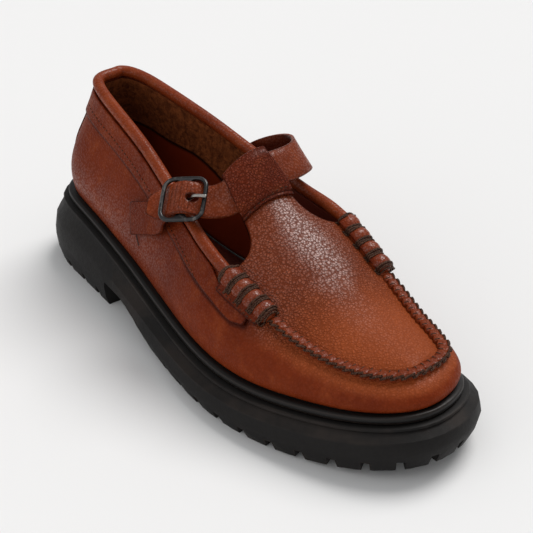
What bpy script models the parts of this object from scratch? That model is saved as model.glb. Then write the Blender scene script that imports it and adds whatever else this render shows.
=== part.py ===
"""Buckle loafer for the right foot, with a T-bar, beef rolls and a lug sole.

Frame: +X runs from the heel to the toe, +Y to the medial side, +Z up from the ground. Inside the functions
the heel's rear edge is at x = 0, and one empty carries every piece to the middle of the shoe's own box.
All lengths are in metres.
"""
import math
from collections import namedtuple

import bmesh
import bpy
import numpy as np
from mathutils import Matrix, Vector

# Driving dimensions of the sole
SOLE_LENGTH = 0.285
BALL_WIDTH = 0.106
WAIST_WIDTH = 0.078
HEEL_WIDTH = 0.066
HEEL_HEIGHT = 0.040
WAIST_HEIGHT = 0.0248
BALL_HEIGHT = 0.0218
TOE_HEIGHT = 0.033
TOE_SPRING = 0.009
MIDSOLE_THICKNESS = 0.004
MIDSOLE_INSET = 0.0083
INSOLE_THICKNESS = 0.003
ARCH_HEIGHT = 0.0145
NOTCH_WIDTH = 0.006
NOTCH_HEIGHT = 0.005
NOTCH_DEPTH = 0.015
NOTCH_PITCH = 0.0155

# Driving dimensions of the upper
FEATHER_INSET = 0.0117
UPPER_WALL = 0.002
COLLAR_RISE = 0.060
CROWN_HEIGHT = 0.011
SEAM_HEIGHT = 0.0018
SEAM_WIDTH = 0.0044
NECK_LENGTH = 0.0315
NECK_RISE = 0.0225
NECK_WIDTH = 0.038
BAND_WIDTH = 0.013
OVERLAY_THICKNESS = 0.0012
BINDING_RADIUS = 0.0026
ROLL_RADIUS = 0.0052

# Driving dimensions of the strap and buckle
STRAP_WIDTH = 0.0168
STRAP_THICKNESS = 0.002
TAB_WIDTH = 0.0165
TAB_THICKNESS = 0.0016
LOOP_THICKNESS = 0.0016
BUCKLE_LENGTH = 0.0235
BUCKLE_WIDTH = 0.024
WIRE_RADIUS = 0.0012
PRONG_RADIUS = 0.0009
PIN_HOLE = 0.0042
BUCKLE_STANDOFF = 0.0105

# Clearance between touching pieces
GAP = 0.0003

# Points round the outline: an even number, so that the lateral and the medial half pair up
RING = 80
HALF = RING // 2
WALL_ROWS = 8
ROLL_TOP = 23
ROLL_BOTTOM = 27
APRON_COLUMNS = 13
NECK_FIRST = 2
NECK_LAST = 11

OutlineRow = namedtuple("OutlineRow", "along across width")
OUTLINE = (
    OutlineRow(0.000, 0.000, HEEL_WIDTH),
    OutlineRow(0.050, -0.444, HEEL_WIDTH),
    OutlineRow(0.170, -0.562, HEEL_WIDTH),
    OutlineRow(0.420, -0.580, WAIST_WIDTH),
    OutlineRow(0.660, -0.504, BALL_WIDTH),
    OutlineRow(0.850, -0.381, BALL_WIDTH),
    OutlineRow(0.955, -0.213, BALL_WIDTH),
    OutlineRow(1.000, 0.026, BALL_WIDTH),
    OutlineRow(0.955, 0.340, BALL_WIDTH),
    OutlineRow(0.850, 0.452, BALL_WIDTH),
    OutlineRow(0.680, 0.494, BALL_WIDTH),
    OutlineRow(0.420, 0.420, WAIST_WIDTH),
    OutlineRow(0.170, 0.426, HEEL_WIDTH),
    OutlineRow(0.050, 0.455, HEEL_WIDTH),
)
OUTLINE_TIP = 7

# Height of the feather line, where upper and sole meet
FeatherRow = namedtuple("FeatherRow", "along height")
FEATHER = (
    FeatherRow(0.00, HEEL_HEIGHT),
    FeatherRow(0.12, 0.97 * HEEL_HEIGHT),
    FeatherRow(0.27, 0.81 * HEEL_HEIGHT),
    FeatherRow(0.42, WAIST_HEIGHT),
    FeatherRow(0.56, BALL_HEIGHT),
    FeatherRow(0.70, 1.02 * BALL_HEIGHT),
    FeatherRow(0.85, 0.80 * TOE_HEIGHT),
    FeatherRow(1.00, TOE_HEIGHT),
)

# Top edge of the wall: how far inside the feather line, in ball widths, and how far above it, in collar rises
TopRow = namedtuple("TopRow", "along lateral_in lateral_rise medial_in medial_rise")
TOP_EDGE = (
    TopRow(0.00, 0.145, 1.000, 0.145, 1.000),
    TopRow(0.06, 0.140, 1.000, 0.120, 1.000),
    TopRow(0.15, 0.115, 0.985, 0.005, 0.995),
    TopRow(0.30, 0.110, 0.925, -0.095, 0.955),
    TopRow(0.45, 0.100, 0.800, -0.104, 0.860),
    TopRow(0.57, 0.104, 0.640, -0.047, 0.755),
    TopRow(0.69, 0.123, 0.457, 0.014, 0.523),
    TopRow(0.80, 0.095, 0.300, 0.025, 0.320),
    TopRow(0.90, 0.075, 0.205, 0.030, 0.225),
    TopRow(0.96, 0.070, 0.180, 0.040, 0.190),
    TopRow(1.00, 0.070, 0.175, 0.070, 0.175),
)

# Handles of the wall's section, in collar rises: the bulge over the feather line
# and the shoulder under the top
SectionRow = namedtuple("SectionRow", "along bulge shoulder drop")
SECTION = (
    SectionRow(0.00, 0.110, 0.110, 0.38),
    SectionRow(0.15, 0.110, 0.080, 0.38),
    SectionRow(0.30, 0.110, 0.060, 0.35),
    SectionRow(0.45, 0.120, 0.060, 0.30),
    SectionRow(0.60, 0.120, 0.110, 0.20),
    SectionRow(0.72, 0.105, 0.120, 0.06),
    SectionRow(0.85, 0.075, 0.085, 0.03),
    SectionRow(1.00, 0.070, 0.080, 0.03),
)

# Crown of the apron above the chord between its two seams, from the toe back to the cut-outs
CrownRow = namedtuple("CrownRow", "back crown")
CROWN = (
    CrownRow(0.00, 0.10),
    CrownRow(0.25, 0.40),
    CrownRow(0.50, 0.66),
    CrownRow(0.75, 0.84),
    CrownRow(1.00, 1.00),
)

# T-bar neck behind the apron: shares of its length, rise and width, sides measured from the base's middle,
# and the slope from the lateral up to the medial side
NeckRow = namedtuple("NeckRow", "back rise lateral medial tilt")
NECK = (
    NeckRow(0.00, 0.00, -0.50, 0.50, 0.10),
    NeckRow(0.20, 0.12, -0.41, 0.42, 0.14),
    NeckRow(0.40, 0.25, -0.36, 0.37, 0.19),
    NeckRow(0.56, 0.38, -0.34, 0.34, 0.24),
    NeckRow(0.72, 0.57, -0.335, 0.31, 0.29),
    NeckRow(0.86, 0.78, -0.34, 0.27, 0.33),
    NeckRow(1.00, 1.00, -0.35, 0.23, 0.36),
)


def follow(table, column, share):
    """Smooth value of one column of a table at a share along it."""
    knots = np.array([row[0] for row in table], float)
    values = np.array([getattr(row, column) for row in table], float)
    slopes = np.gradient(values, knots)
    share = np.clip(np.asarray(share, float), knots[0], knots[-1])
    span = np.clip(np.searchsorted(knots, share, side="right") - 1, 0, len(knots) - 2)
    width = knots[span + 1] - knots[span]
    t = (share - knots[span]) / width
    start = (2 * t**3 - 3 * t**2 + 1) * values[span] + (t**3 - 2 * t**2 + t) * width * slopes[span]
    end = (3 * t**2 - 2 * t**3) * values[span + 1] + (t**3 - t**2) * width * slopes[span + 1]
    return start + end


def closed_spline(points, steps):
    """Points along the smooth closed curve through the given points, steps of them in each span."""
    count = len(points)
    following = np.roll(points, -1, axis=0)
    chords = np.sqrt(np.linalg.norm(following - points, axis=1))
    system = np.zeros((count, count))
    right = np.zeros_like(points)
    for i in range(count):
        before, after = chords[i - 1], chords[i]
        system[i, i - 1] += after
        system[i, i] += 2 * (before + after)
        system[i, (i + 1) % count] += before
        rise_before = (points[i] - points[i - 1]) / before
        rise_after = (following[i] - points[i]) / after
        right[i] = 3 * (after * rise_before + before * rise_after)
    slopes = np.linalg.solve(system, right)
    t = (np.arange(steps) / steps)[:, None]
    spans = []
    for i in range(count):
        leave = slopes[i] * chords[i]
        arrive = slopes[(i + 1) % count] * chords[i]
        start = (2 * t**3 - 3 * t**2 + 1) * points[i] + (t**3 - 2 * t**2 + t) * leave
        end = (3 * t**2 - 2 * t**3) * following[i] + (t**3 - t**2) * arrive
        spans.append(start + end)
    return np.vstack(spans)


def outline_ring():
    """Plan points of the sole's widest outline with outward normals: heel, lateral side, toe, medial side."""
    steps = 60
    points = np.array([(row.along * SOLE_LENGTH, row.across * row.width) for row in OUTLINE])
    curve = closed_spline(points, steps)
    tip = OUTLINE_TIP * steps
    halves = []
    for half in (curve[:tip + 1], np.vstack([curve[tip:], curve[:1]])):
        run = np.concatenate([[0], np.cumsum(np.linalg.norm(np.diff(half, axis=0), axis=1))])
        stations = np.linspace(0, run[-1], HALF + 1)[:-1]
        halves.append(np.column_stack([np.interp(stations, run, half[:, axis]) for axis in range(2)]))
    ring = np.vstack(halves)
    tangents = np.roll(ring, -1, axis=0) - np.roll(ring, 1, axis=0)
    tangents /= np.linalg.norm(tangents, axis=1, keepdims=True)
    return ring, np.column_stack([tangents[:, 1], -tangents[:, 0]])


def unit(vector):
    """The vector at length one."""
    return vector / np.linalg.norm(vector, axis=-1, keepdims=True)


def eased_normals(normals):
    """Plan normals averaged with their neighbours, so that a wide inset doesn't bunch up at the corners."""
    reach = 4
    total = sum(np.roll(normals, step, axis=0) for step in range(-reach, reach + 1))
    return np.column_stack([unit(total), np.zeros(RING)])


EDGE, OUTWARD = outline_ring()
SHARE = EDGE[:, 0] / SOLE_LENGTH
OUTWARD_3D = eased_normals(OUTWARD)
UP = np.array((0.0, 0.0, 1.0))


def feather_height(x):
    """Height of the feather line at a place along the shoe."""
    return follow(FEATHER, "height", np.asarray(x) / SOLE_LENGTH)


def ground_height(x):
    """Height of the sole's underside: flat, then the toe spring."""
    spring_start = 0.72
    share = np.clip((np.asarray(x) / SOLE_LENGTH - spring_start) / (1 - spring_start), 0, 1)
    return TOE_SPRING * share**2


def level_ring(inset, height):
    """The outline moved inward, each point at the height that the function gives for its x."""
    plan = EDGE - OUTWARD * inset
    return np.column_stack([plan, height(plan[:, 0])])


def top_line():
    """Topline and moc seam in one: the line that the eye sees along the top of the wall."""
    line = np.zeros((RING, 3))
    foot = level_ring(FEATHER_INSET, feather_height)
    for i in range(RING):
        side = "lateral" if i <= HALF else "medial"
        inset = follow(TOP_EDGE, side + "_in", SHARE[i]) * BALL_WIDTH
        rise = follow(TOP_EDGE, side + "_rise", SHARE[i]) * COLLAR_RISE
        line[i] = foot[i] - OUTWARD_3D[i] * inset + UP * rise
    return line


def behind_roll(i):
    """How many ring points a place lies behind the nearer roll's top end."""
    return ROLL_TOP - min(i, RING - i)


TOP_LINE = top_line()


def wall_top():
    """Upper edge of the wall: the top line, lowered where the rolled binding sits on it."""
    edge = TOP_LINE.copy()
    fade = 3
    for i in range(RING):
        sunk = np.clip(behind_roll(i) / fade, 0, 1)
        edge[i, 2] -= sunk * (BINDING_RADIUS + GAP)
    return edge


WALL_TOP = wall_top()


def wall_grid():
    """Outer surface of the wall: rows from the feather line to the top edge, each a closed ring."""
    foot = level_ring(FEATHER_INSET, feather_height) + UP * GAP
    rows = []
    bulge = follow(SECTION, "bulge", SHARE)[:, None] * COLLAR_RISE
    shoulder = follow(SECTION, "shoulder", SHARE)[:, None] * COLLAR_RISE
    drop = follow(SECTION, "drop", SHARE)[:, None]
    rise = (WALL_TOP[:, 2] - foot[:, 2])[:, None]
    lower = foot + OUTWARD_3D * bulge + UP * 0.35 * rise
    upper = WALL_TOP + OUTWARD_3D * shoulder - UP * drop * rise
    for row in range(WALL_ROWS + 1):
        t = row / WALL_ROWS
        near = (1 - t) ** 3 * foot + 3 * (1 - t) ** 2 * t * lower
        rows.append(near + 3 * (1 - t) * t**2 * upper + t**3 * WALL_TOP)
    return np.array(rows)


def ring_normals(grid):
    """Outward normals of a grid of closed rings."""
    along = np.roll(grid, -1, axis=1) - np.roll(grid, 1, axis=1)
    upward = np.gradient(grid, axis=0)
    return unit(np.cross(along, upward))


WALL = wall_grid()
WALL_NORMALS = ring_normals(WALL)


def wall_point(station, height, clearance):
    """A point off the wall: station counts ring points, height runs from 0 at the feather line to 1."""
    first = int(math.floor(station))
    part = station - first
    low = min(int(height * WALL_ROWS), WALL_ROWS - 1)
    lift = height * WALL_ROWS - low
    result = np.zeros(3)
    for column, column_share in ((first % RING, 1 - part), ((first + 1) % RING, part)):
        for row, row_share in ((low, 1 - lift), (low + 1, lift)):
            spot = WALL[row, column] + WALL_NORMALS[row, column] * clearance
            result += column_share * row_share * spot
    return result


def seam_rows():
    """Raised moc seam: three lines from the wall's top edge in to the apron's edge."""
    inward = -OUTWARD_3D
    raised = np.array([np.clip(-behind_roll(i) - (ROLL_BOTTOM - ROLL_TOP), 0, 1) for i in range(RING)])
    height = raised[:, None] * SEAM_HEIGHT
    slope = 0.25
    rows = []
    for across, lift in ((0.22, 0.8), (0.72, 1.0), (1.0, 0.15)):
        flat = inward * SEAM_WIDTH * across + UP * SEAM_WIDTH * across * slope
        rows.append(WALL_TOP + flat + UP * height * lift)
    return rows


SEAM = seam_rows()


def apron_row(i):
    """Points across the apron between the seam's inner lines at ring points i and RING - i."""
    left = SEAM[2][i]
    right = SEAM[2][RING - i]
    back = (HALF - i) / (HALF - ROLL_TOP)
    crown = follow(CROWN, "crown", back) * CROWN_HEIGHT
    share = np.linspace(0, 1, APRON_COLUMNS + 1)[:, None]
    return left + (right - left) * share + UP * crown * 4 * share * (1 - share)


def neck_rows():
    """T-bar neck: rows from the apron's last row back and up to the end under the loop."""
    base = apron_row(ROLL_TOP)[NECK_FIRST:NECK_LAST + 1]
    middle = 0.5 * (base[0] + base[-1])
    middle[2] = base[:, 2].max()
    sag = middle[2] - 0.5 * (base[0, 2] + base[-1, 2])
    share = np.linspace(0, 1, len(base))
    rows = []
    for k in range(1, len(NECK)):
        row = NECK[k]
        side = (row.lateral + (row.medial - row.lateral) * share) * NECK_WIDTH
        round_share = (2 * share - 1) ** 2
        keep = 1 - row.back
        x = middle[0] - row.back * NECK_LENGTH + keep * (base[:, 0] - middle[0])
        z = middle[2] + row.rise * NECK_RISE + row.tilt * side - (0.45 + 0.55 * keep) * sag * round_share
        rows.append(np.column_stack([x, middle[1] + side, z]))
    return rows


NECK_ROWS = np.array([apron_row(ROLL_TOP)[NECK_FIRST:NECK_LAST + 1]] + neck_rows())


def row_normals(rows):
    """Upward normals of an open grid whose rows run back and whose columns run to the medial side."""
    return unit(np.cross(np.gradient(rows, axis=1), np.gradient(rows, axis=0)))


NECK_NORMALS = row_normals(NECK_ROWS)


def neck_point(column, place, lift, beyond=0.0):
    """A point over the neck: place counts its rows, lift is along its normal, beyond runs past its end."""
    row = min(int(place), len(NECK_ROWS) - 2)
    part = place - row
    spot = (1 - part) * NECK_ROWS[row, column] + part * NECK_ROWS[row + 1, column]
    normal = unit((1 - part) * NECK_NORMALS[row, column] + part * NECK_NORMALS[row + 1, column])
    run = unit(NECK_ROWS[-1, column] - NECK_ROWS[-2, column])
    return spot + normal * lift + run * beyond


def ring_value(values, station):
    """Value between two ring points of any table with one row for each ring point."""
    first = int(math.floor(station))
    part = station - first
    return (1 - part) * values[first % RING] + part * values[(first + 1) % RING]


def smooth_path(points, steps):
    """Smooth curve through rows that start with a place in space, with even steps in each span."""
    points = np.array(points, float)
    run = np.concatenate([[0], np.cumsum(np.linalg.norm(np.diff(points[:, :3], axis=0), axis=1))])
    slopes = np.gradient(points, run, axis=0)
    t = (np.arange(steps) / steps)[:, None]
    spans = []
    for i in range(len(points) - 1):
        width = run[i + 1] - run[i]
        start = (2 * t**3 - 3 * t**2 + 1) * points[i] + (t**3 - 2 * t**2 + t) * width * slopes[i]
        end = (3 * t**2 - 2 * t**3) * points[i + 1] + (t**3 - t**2) * width * slopes[i + 1]
        spans.append(start + end)
    return np.vstack(spans + [points[-1:]])


class Buckle:
    """The buckle's own frame: along runs to the strap's tail, across to its front edge, lift off the shoe."""

    station = 18.3

    def __init__(self, loop_exit):
        anchor = ring_value(TOP_LINE, self.station)
        outward = ring_value(OUTWARD_3D, self.station)
        self.centre = anchor + outward * 0.0015 + UP * BUCKLE_STANDOFF
        tail = ring_value(TOP_LINE, self.station - 2.3) + outward * 0.0140 - UP * 0.0020
        self.along = unit(tail - loop_exit)
        facing = 0.75 * outward + 0.70 * UP
        self.lift = unit(facing - self.along * np.dot(facing, self.along))
        self.across = np.cross(self.lift, self.along)

    def point(self, along, across, lift):
        return self.centre + self.along * along + self.across * across + self.lift * lift


STRAP_EASE = 0.0003
LOOP_LIFT = GAP + STRAP_THICKNESS / 2 + STRAP_EASE


def under_loop(column):
    """Rear and front edge of the strap where it lies on the neck."""
    return neck_point(column, 5.93, LOOP_LIFT), neck_point(column, 3.2, LOOP_LIFT)


LOOP_EXIT = sum(under_loop(0)) / 2
BUCKLE = Buckle(LOOP_EXIT)
BAR_RADIUS = 0.8 * WIRE_RADIUS
SIDE_REACH = BUCKLE_LENGTH / 2 - WIRE_RADIUS


def material(name, colour, roughness, metallic=0.0):
    """One plain Principled material."""
    result = bpy.data.materials.new(name)
    result.use_nodes = True
    shader = result.node_tree.nodes["Principled BSDF"]
    shader.inputs["Base Color"].default_value = (*colour, 1.0)
    shader.inputs["Roughness"].default_value = roughness
    shader.inputs["Metallic"].default_value = metallic
    return result


def start_scene():
    """Clear the scene and make the collection of parts, the collection of cutters and the shoe's empty."""
    for leftover in list(bpy.data.objects):
        bpy.data.objects.remove(leftover)
    parts = bpy.data.collections.new("buckle_loafer")
    cutters = bpy.data.collections.new("cutters")
    for collection in (parts, cutters):
        bpy.context.scene.collection.children.link(collection)
    shoe = bpy.data.objects.new("shoe_origin", None)
    middle = (EDGE[:, :2].min(axis=0) + EDGE[:, :2].max(axis=0)) / 2
    shoe.location = (-middle[0], -middle[1], 0)
    parts.objects.link(shoe)
    bpy.context.view_layer.update()
    return parts, cutters, shoe


PARTS, CUTTERS, SHOE = start_scene()


def add_object(name, mesh, finish, collection=None):
    """Put a mesh in its collection, under the shoe's empty."""
    result = bpy.data.objects.new(name, mesh)
    (collection or PARTS).objects.link(result)
    result.parent = SHOE
    if finish:
        mesh.materials.append(finish)
        mesh.shade_smooth()
        mesh.set_sharp_from_angle(angle=math.radians(40))
    return result


def mesh_from(name, points, faces, closed=True):
    """Mesh of points and faces, turned to face outward where it is closed."""
    mesh = bpy.data.meshes.new(name)
    mesh.from_pydata([tuple(point) for point in points], [], faces)
    if closed:
        work = bmesh.new()
        work.from_mesh(mesh)
        bmesh.ops.recalc_face_normals(work, faces=work.faces)
        work.to_mesh(mesh)
        work.free()
    return mesh


def loft(name, sections, finish):
    """Closed solid through sections with equal numbers of points, each end capped with one face."""
    count = len(sections[0])
    faces = [tuple(range(count))]
    for row in range(len(sections) - 1):
        for i in range(count):
            j = (i + 1) % count
            base = row * count
            faces.append((base + i, base + j, base + count + j, base + count + i))
    last = (len(sections) - 1) * count
    faces.append(tuple(last + i for i in reversed(range(count))))
    return add_object(name, mesh_from(name, np.vstack(sections), faces), finish)


def plate(name, rings, finish):
    """Closed solid through rings round the shoe; rungs from side to side close its underside and its top."""
    faces = []
    for row in range(len(rings) - 1):
        for i in range(RING):
            j = (i + 1) % RING
            faces.append((row * RING + i, row * RING + j, (row + 1) * RING + j, (row + 1) * RING + i))
    for base in (0, (len(rings) - 1) * RING):
        faces.append((base, base + 1, base + RING - 1))
        faces.append((base + HALF - 1, base + HALF, base + HALF + 1))
        for i in range(1, HALF - 1):
            faces.append((base + i, base + i + 1, base + RING - i - 1, base + RING - i))
    return add_object(name, mesh_from(name, np.vstack(rings), faces), finish)


def slab(name, lower, upper, finish):
    """Closed solid between two grids of points with equal rows and columns."""
    rows, columns = lower.shape[:2]
    count = rows * columns
    faces = []
    for row in range(rows - 1):
        for column in range(columns - 1):
            corner = row * columns + column
            quad = (corner, corner + 1, corner + columns + 1, corner + columns)
            faces.append(quad)
            faces.append(tuple(count + index for index in quad))
    rim = list(range(columns))
    rim += [row * columns + columns - 1 for row in range(1, rows)]
    rim += [(rows - 1) * columns + column for column in reversed(range(columns - 1))]
    rim += [row * columns for row in reversed(range(1, rows - 1))]
    for here, there in zip(rim, rim[1:] + rim[:1]):
        faces.append((here, there, count + there, count + here))
    points = np.vstack([lower.reshape(-1, 3), upper.reshape(-1, 3)])
    return add_object(name, mesh_from(name, points, faces), finish)


def tube(name, points, radius, finish, cyclic=False, resolution=2):
    """Round wire or roll along the points, with filled ends where it is open."""
    curve = bpy.data.curves.new(name, "CURVE")
    curve.dimensions = "3D"
    curve.bevel_depth = radius
    curve.bevel_resolution = resolution
    curve.use_fill_caps = True
    line = curve.splines.new("POLY")
    line.points.add(len(points) - 1)
    for spot, point in zip(line.points, points):
        spot.co = (*point, 1.0)
    line.use_cyclic_u = cyclic
    curve.materials.append(finish)
    result = bpy.data.objects.new(name, curve)
    PARTS.objects.link(result)
    result.parent = SHOE
    return result


def meshed(curve_object):
    """Replace a curve by its mesh with welded caps, ready to be cut or joined."""
    bpy.context.view_layer.update()
    seen = curve_object.evaluated_get(bpy.context.evaluated_depsgraph_get())
    mesh = bpy.data.meshes.new_from_object(seen)
    name = curve_object.name
    bpy.data.objects.remove(curve_object)
    work = bmesh.new()
    work.from_mesh(mesh)
    bmesh.ops.remove_doubles(work, verts=work.verts, dist=0.00001)
    work.to_mesh(mesh)
    work.free()
    result = bpy.data.objects.new(name, mesh)
    PARTS.objects.link(result)
    result.parent = SHOE
    return result


def cut(target, cutter, operation="DIFFERENCE"):
    """Apply a cutter to a part and keep the cutter as a hidden wire shape."""
    cutter.hide_render = True
    cutter.display_type = "WIRE"
    step = target.modifiers.new(cutter.name, "BOOLEAN")
    step.operation = operation
    step.solver = "EXACT"
    step.object = cutter


RUBBER = material("black_rubber", (0.012, 0.011, 0.011), 0.62)
LEATHER = material("cognac_leather", (0.165, 0.036, 0.014), 0.42)
EDGE_LEATHER = material("tan_binding_leather", (0.24, 0.062, 0.02), 0.40)
LINING = material("dark_red_sock", (0.085, 0.014, 0.007), 0.55)
GUNMETAL = material("gunmetal", (0.05, 0.05, 0.052), 0.30, 1.0)


def make_outsole():
    """Moulded lug unit: flared side with a rim bead, arch cut out below, notches along its edge."""
    rim_drop = MIDSOLE_THICKNESS + GAP

    def height_at(share, drop):
        def height(x):
            ground = ground_height(x)
            return ground + share * (feather_height(x) - drop - ground)
        return height

    profile = (
        (0.0030, 0.00, 0.0),
        (0.0010, 0.18, 0.0),
        (0.0000, 0.38, 0.0),
        (0.0014, 0.62, 0.0),
        (0.0062, 1.00, rim_drop + 0.0022),
        (0.0055, 1.00, rim_drop + 0.0014),
        (0.0058, 1.00, rim_drop + 0.0004),
        (0.0072, 1.00, rim_drop),
    )
    rings = [level_ring(inset, height_at(share, drop)) for inset, share, drop in profile]
    outsole = plate("outsole", rings, RUBBER)

    cut(outsole, arch_cutter())
    cut(outsole, notch_cutter())


def arch_cutter():
    """Space under the waist: an upright heel breast, then a slope down to the forefoot tread."""
    breast = 0.272 * SOLE_LENGTH
    forefoot = 0.49 * SOLE_LENGTH
    span = forefoot - breast
    below = -0.01
    shape = ((0.0, below), (0.02, ARCH_HEIGHT), (0.30, 0.97 * ARCH_HEIGHT), (0.55, 0.74 * ARCH_HEIGHT),
             (0.80, 0.34 * ARCH_HEIGHT), (1.0, 0.0), (1.0, below))
    reach = BALL_WIDTH
    sides = []
    for y in (-reach, reach):
        sides.append([(breast + share * span, y, height) for share, height in shape])
    count = len(shape)
    faces = [tuple(range(count)), tuple(count + i for i in reversed(range(count)))]
    for i in range(count):
        j = (i + 1) % count
        faces.append((i, j, count + j, count + i))
    mesh = mesh_from("arch_space", sides[0] + sides[1], faces)
    return add_object("arch_space", mesh, None, CUTTERS)


def notch_cutter():
    """Wedges that cut the tread's edge into lugs, square to the outline, joined in one cutter."""
    steps_round = np.linalg.norm(np.diff(np.vstack([EDGE, EDGE[:1]]), axis=0), axis=1)
    run = np.concatenate([[0], np.cumsum(steps_round)])
    count = int(run[-1] / NOTCH_PITCH)
    work = bmesh.new()
    for k in range(count):
        station = np.interp((k + 0.5) * run[-1] / count, run, np.arange(RING + 1))
        spot = ring_value(EDGE, station)
        share = spot[0] / SOLE_LENGTH
        if 0.255 < share < 0.475:
            continue
        on_heel = share < 0.3
        width = NOTCH_WIDTH * (0.75 if on_heel else 1.0)
        depth = NOTCH_DEPTH * (0.45 if on_heel else 1.0)
        outward = unit(ring_value(OUTWARD, station))
        centre = Vector((*(spot + outward * 0.002 - outward * depth / 2), 0.0))
        turn = Matrix.Rotation(math.atan2(outward[1], outward[0]), 4, "Z")
        size = Matrix.Diagonal((depth + 0.004, width, 2 * NOTCH_HEIGHT, 1.0))
        lift = Vector((0, 0, float(ground_height(spot[0]))))
        made = bmesh.ops.create_cube(work, size=1.0, matrix=Matrix.Translation(centre + lift) @ turn @ size)
        for vertex in made["verts"]:
            if vertex.co.z > 0:
                side = (vertex.co - centre).dot(turn.col[1].to_3d())
                vertex.co -= turn.col[1].to_3d() * side * 0.35
    mesh = bpy.data.meshes.new("lug_notches")
    work.to_mesh(mesh)
    work.free()
    return add_object("lug_notches", mesh, None, CUTTERS)


def make_midsole():
    """Plate that shows as a step between the rim bead and the upper."""
    def under(x):
        return feather_height(x) - MIDSOLE_THICKNESS

    corner = 0.0008
    rings = [
        level_ring(MIDSOLE_INSET + corner, under),
        level_ring(MIDSOLE_INSET, under) + UP * corner,
        level_ring(MIDSOLE_INSET, feather_height) - UP * corner,
        level_ring(MIDSOLE_INSET + corner, feather_height),
    ]
    plate("midsole", rings, RUBBER)


def make_insole():
    """Padded sock on the midsole, inside the upper's wall."""
    clear_of_wall = 0.0016
    corner = 0.0012
    inset = FEATHER_INSET + UPPER_WALL + clear_of_wall
    lowest = level_ring(inset, feather_height) + UP * GAP
    middle = level_ring(inset, feather_height) + UP * (GAP + 0.65 * INSOLE_THICKNESS)
    top = level_ring(inset + corner, feather_height) + UP * (GAP + INSOLE_THICKNESS)
    plate("insole", [lowest, middle, top], LINING)


def make_upper():
    """Hollow shell: wall, raised seam, apron and neck as one open surface, thickened inward."""
    points = []
    faces = []

    def add_points(new):
        first = len(points)
        points.extend(new)
        return list(range(first, first + len(new)))

    wall = [add_points(row) for row in WALL]
    for low, high in zip(wall, wall[1:]):
        for i in range(RING):
            j = (i + 1) % RING
            faces.append((low[i], low[j], high[j], high[i]))

    front = range(ROLL_TOP, RING - ROLL_TOP + 1)
    lines = [{i: wall[-1][i] for i in front}]
    for row in SEAM:
        lines.append(dict(zip(front, add_points([row[i] for i in front]))))
    for low, high in zip(lines, lines[1:]):
        for i in list(front)[:-1]:
            faces.append((low[i], low[i + 1], high[i + 1], high[i]))

    inner = lines[-1]
    rows = {}
    for i in range(ROLL_TOP, HALF):
        middle = add_points(apron_row(i)[1:-1])
        rows[i] = [inner[i]] + middle + [inner[RING - i]]
    for i in range(ROLL_TOP, HALF - 1):
        for c in range(APRON_COLUMNS):
            faces.append((rows[i][c], rows[i + 1][c], rows[i + 1][c + 1], rows[i][c + 1]))
    for c in range(APRON_COLUMNS):
        faces.append((rows[HALF - 1][c], inner[HALF], rows[HALF - 1][c + 1]))

    ahead = rows[ROLL_TOP][NECK_FIRST:NECK_LAST + 1]
    for row in NECK_ROWS[1:]:
        behind = add_points(row)
        for c in range(len(behind) - 1):
            faces.append((behind[c], ahead[c], ahead[c + 1], behind[c + 1]))
        ahead = behind

    upper = add_object("upper", mesh_from("upper", points, faces, closed=False), LEATHER)
    wall_step = upper.modifiers.new("wall", "SOLIDIFY")
    wall_step.thickness = UPPER_WALL
    wall_step.offset = -1.0
    wall_step.use_quality_normals = True


def overlay(name, stations, low, high, thickness, finish, rows=4, clearance=1.7 * GAP):
    """Leather laid on the wall: low and high give its edges at a station, thickness its thickness there."""
    inner = []
    outer = []
    for station in stations:
        heights = np.linspace(low(station), high(station), rows)
        inner.append([wall_point(station, height, clearance) for height in heights])
        outer.append([
            wall_point(station, height, clearance + thickness(station, height)) for height in heights
        ])
    slab(name, np.array(inner), np.array(outer), finish)


def band_foot(station):
    """Height of the collar band's lower edge on the wall."""
    column = WALL[:, int(round(station)) % RING]
    length = np.linalg.norm(np.diff(column, axis=0), axis=1).sum()
    return 1 - BAND_WIDTH / length


def make_collar_band():
    """Band under the topline from the lateral roll round the heel to the medial roll."""
    end = ROLL_BOTTOM - 1

    def top(station):
        return 0.875 if abs(station) >= ROLL_TOP - 0.5 else 0.982

    def foot(station):
        closing = max(abs(station) - (end - 1), 0)
        return band_foot(station) + closing * 0.35 * (top(station) - band_foot(station))

    def thickness(station, height):
        return OVERLAY_THICKNESS

    overlay("collar_band", list(range(-end, end + 1)), foot, top, thickness, LEATHER)


def make_heel_strip():
    """Padded strip up the back of the heel, with its thickest part low down."""
    bulge = 0.0022

    def thickness(station, height):
        swell = math.sin(math.pi * min(height / 0.62, 1.0)) ** 2
        return OVERLAY_THICKNESS + bulge * swell * (1 - (station / 2.6) ** 2)

    def low(station):
        return 0.03

    def high(station):
        return band_foot(station) - 0.012

    overlay("heel_strip", [-2, -1, 0, 1, 2], low, high, thickness, LEATHER, rows=7, clearance=2.2 * GAP)


def make_binding():
    """Thick rolled edge along the topline, from one roll round the heel to the other."""
    end = ROLL_TOP - 0.25
    stations = np.linspace(-end, end, 66)
    points = []
    for station in stations:
        outward = ring_value(OUTWARD_3D, station)
        points.append(ring_value(WALL_TOP, station) + UP * (BINDING_RADIUS + GAP) - outward * UPPER_WALL / 2)
    tube("collar_binding", points, BINDING_RADIUS, EDGE_LEATHER)


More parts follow.
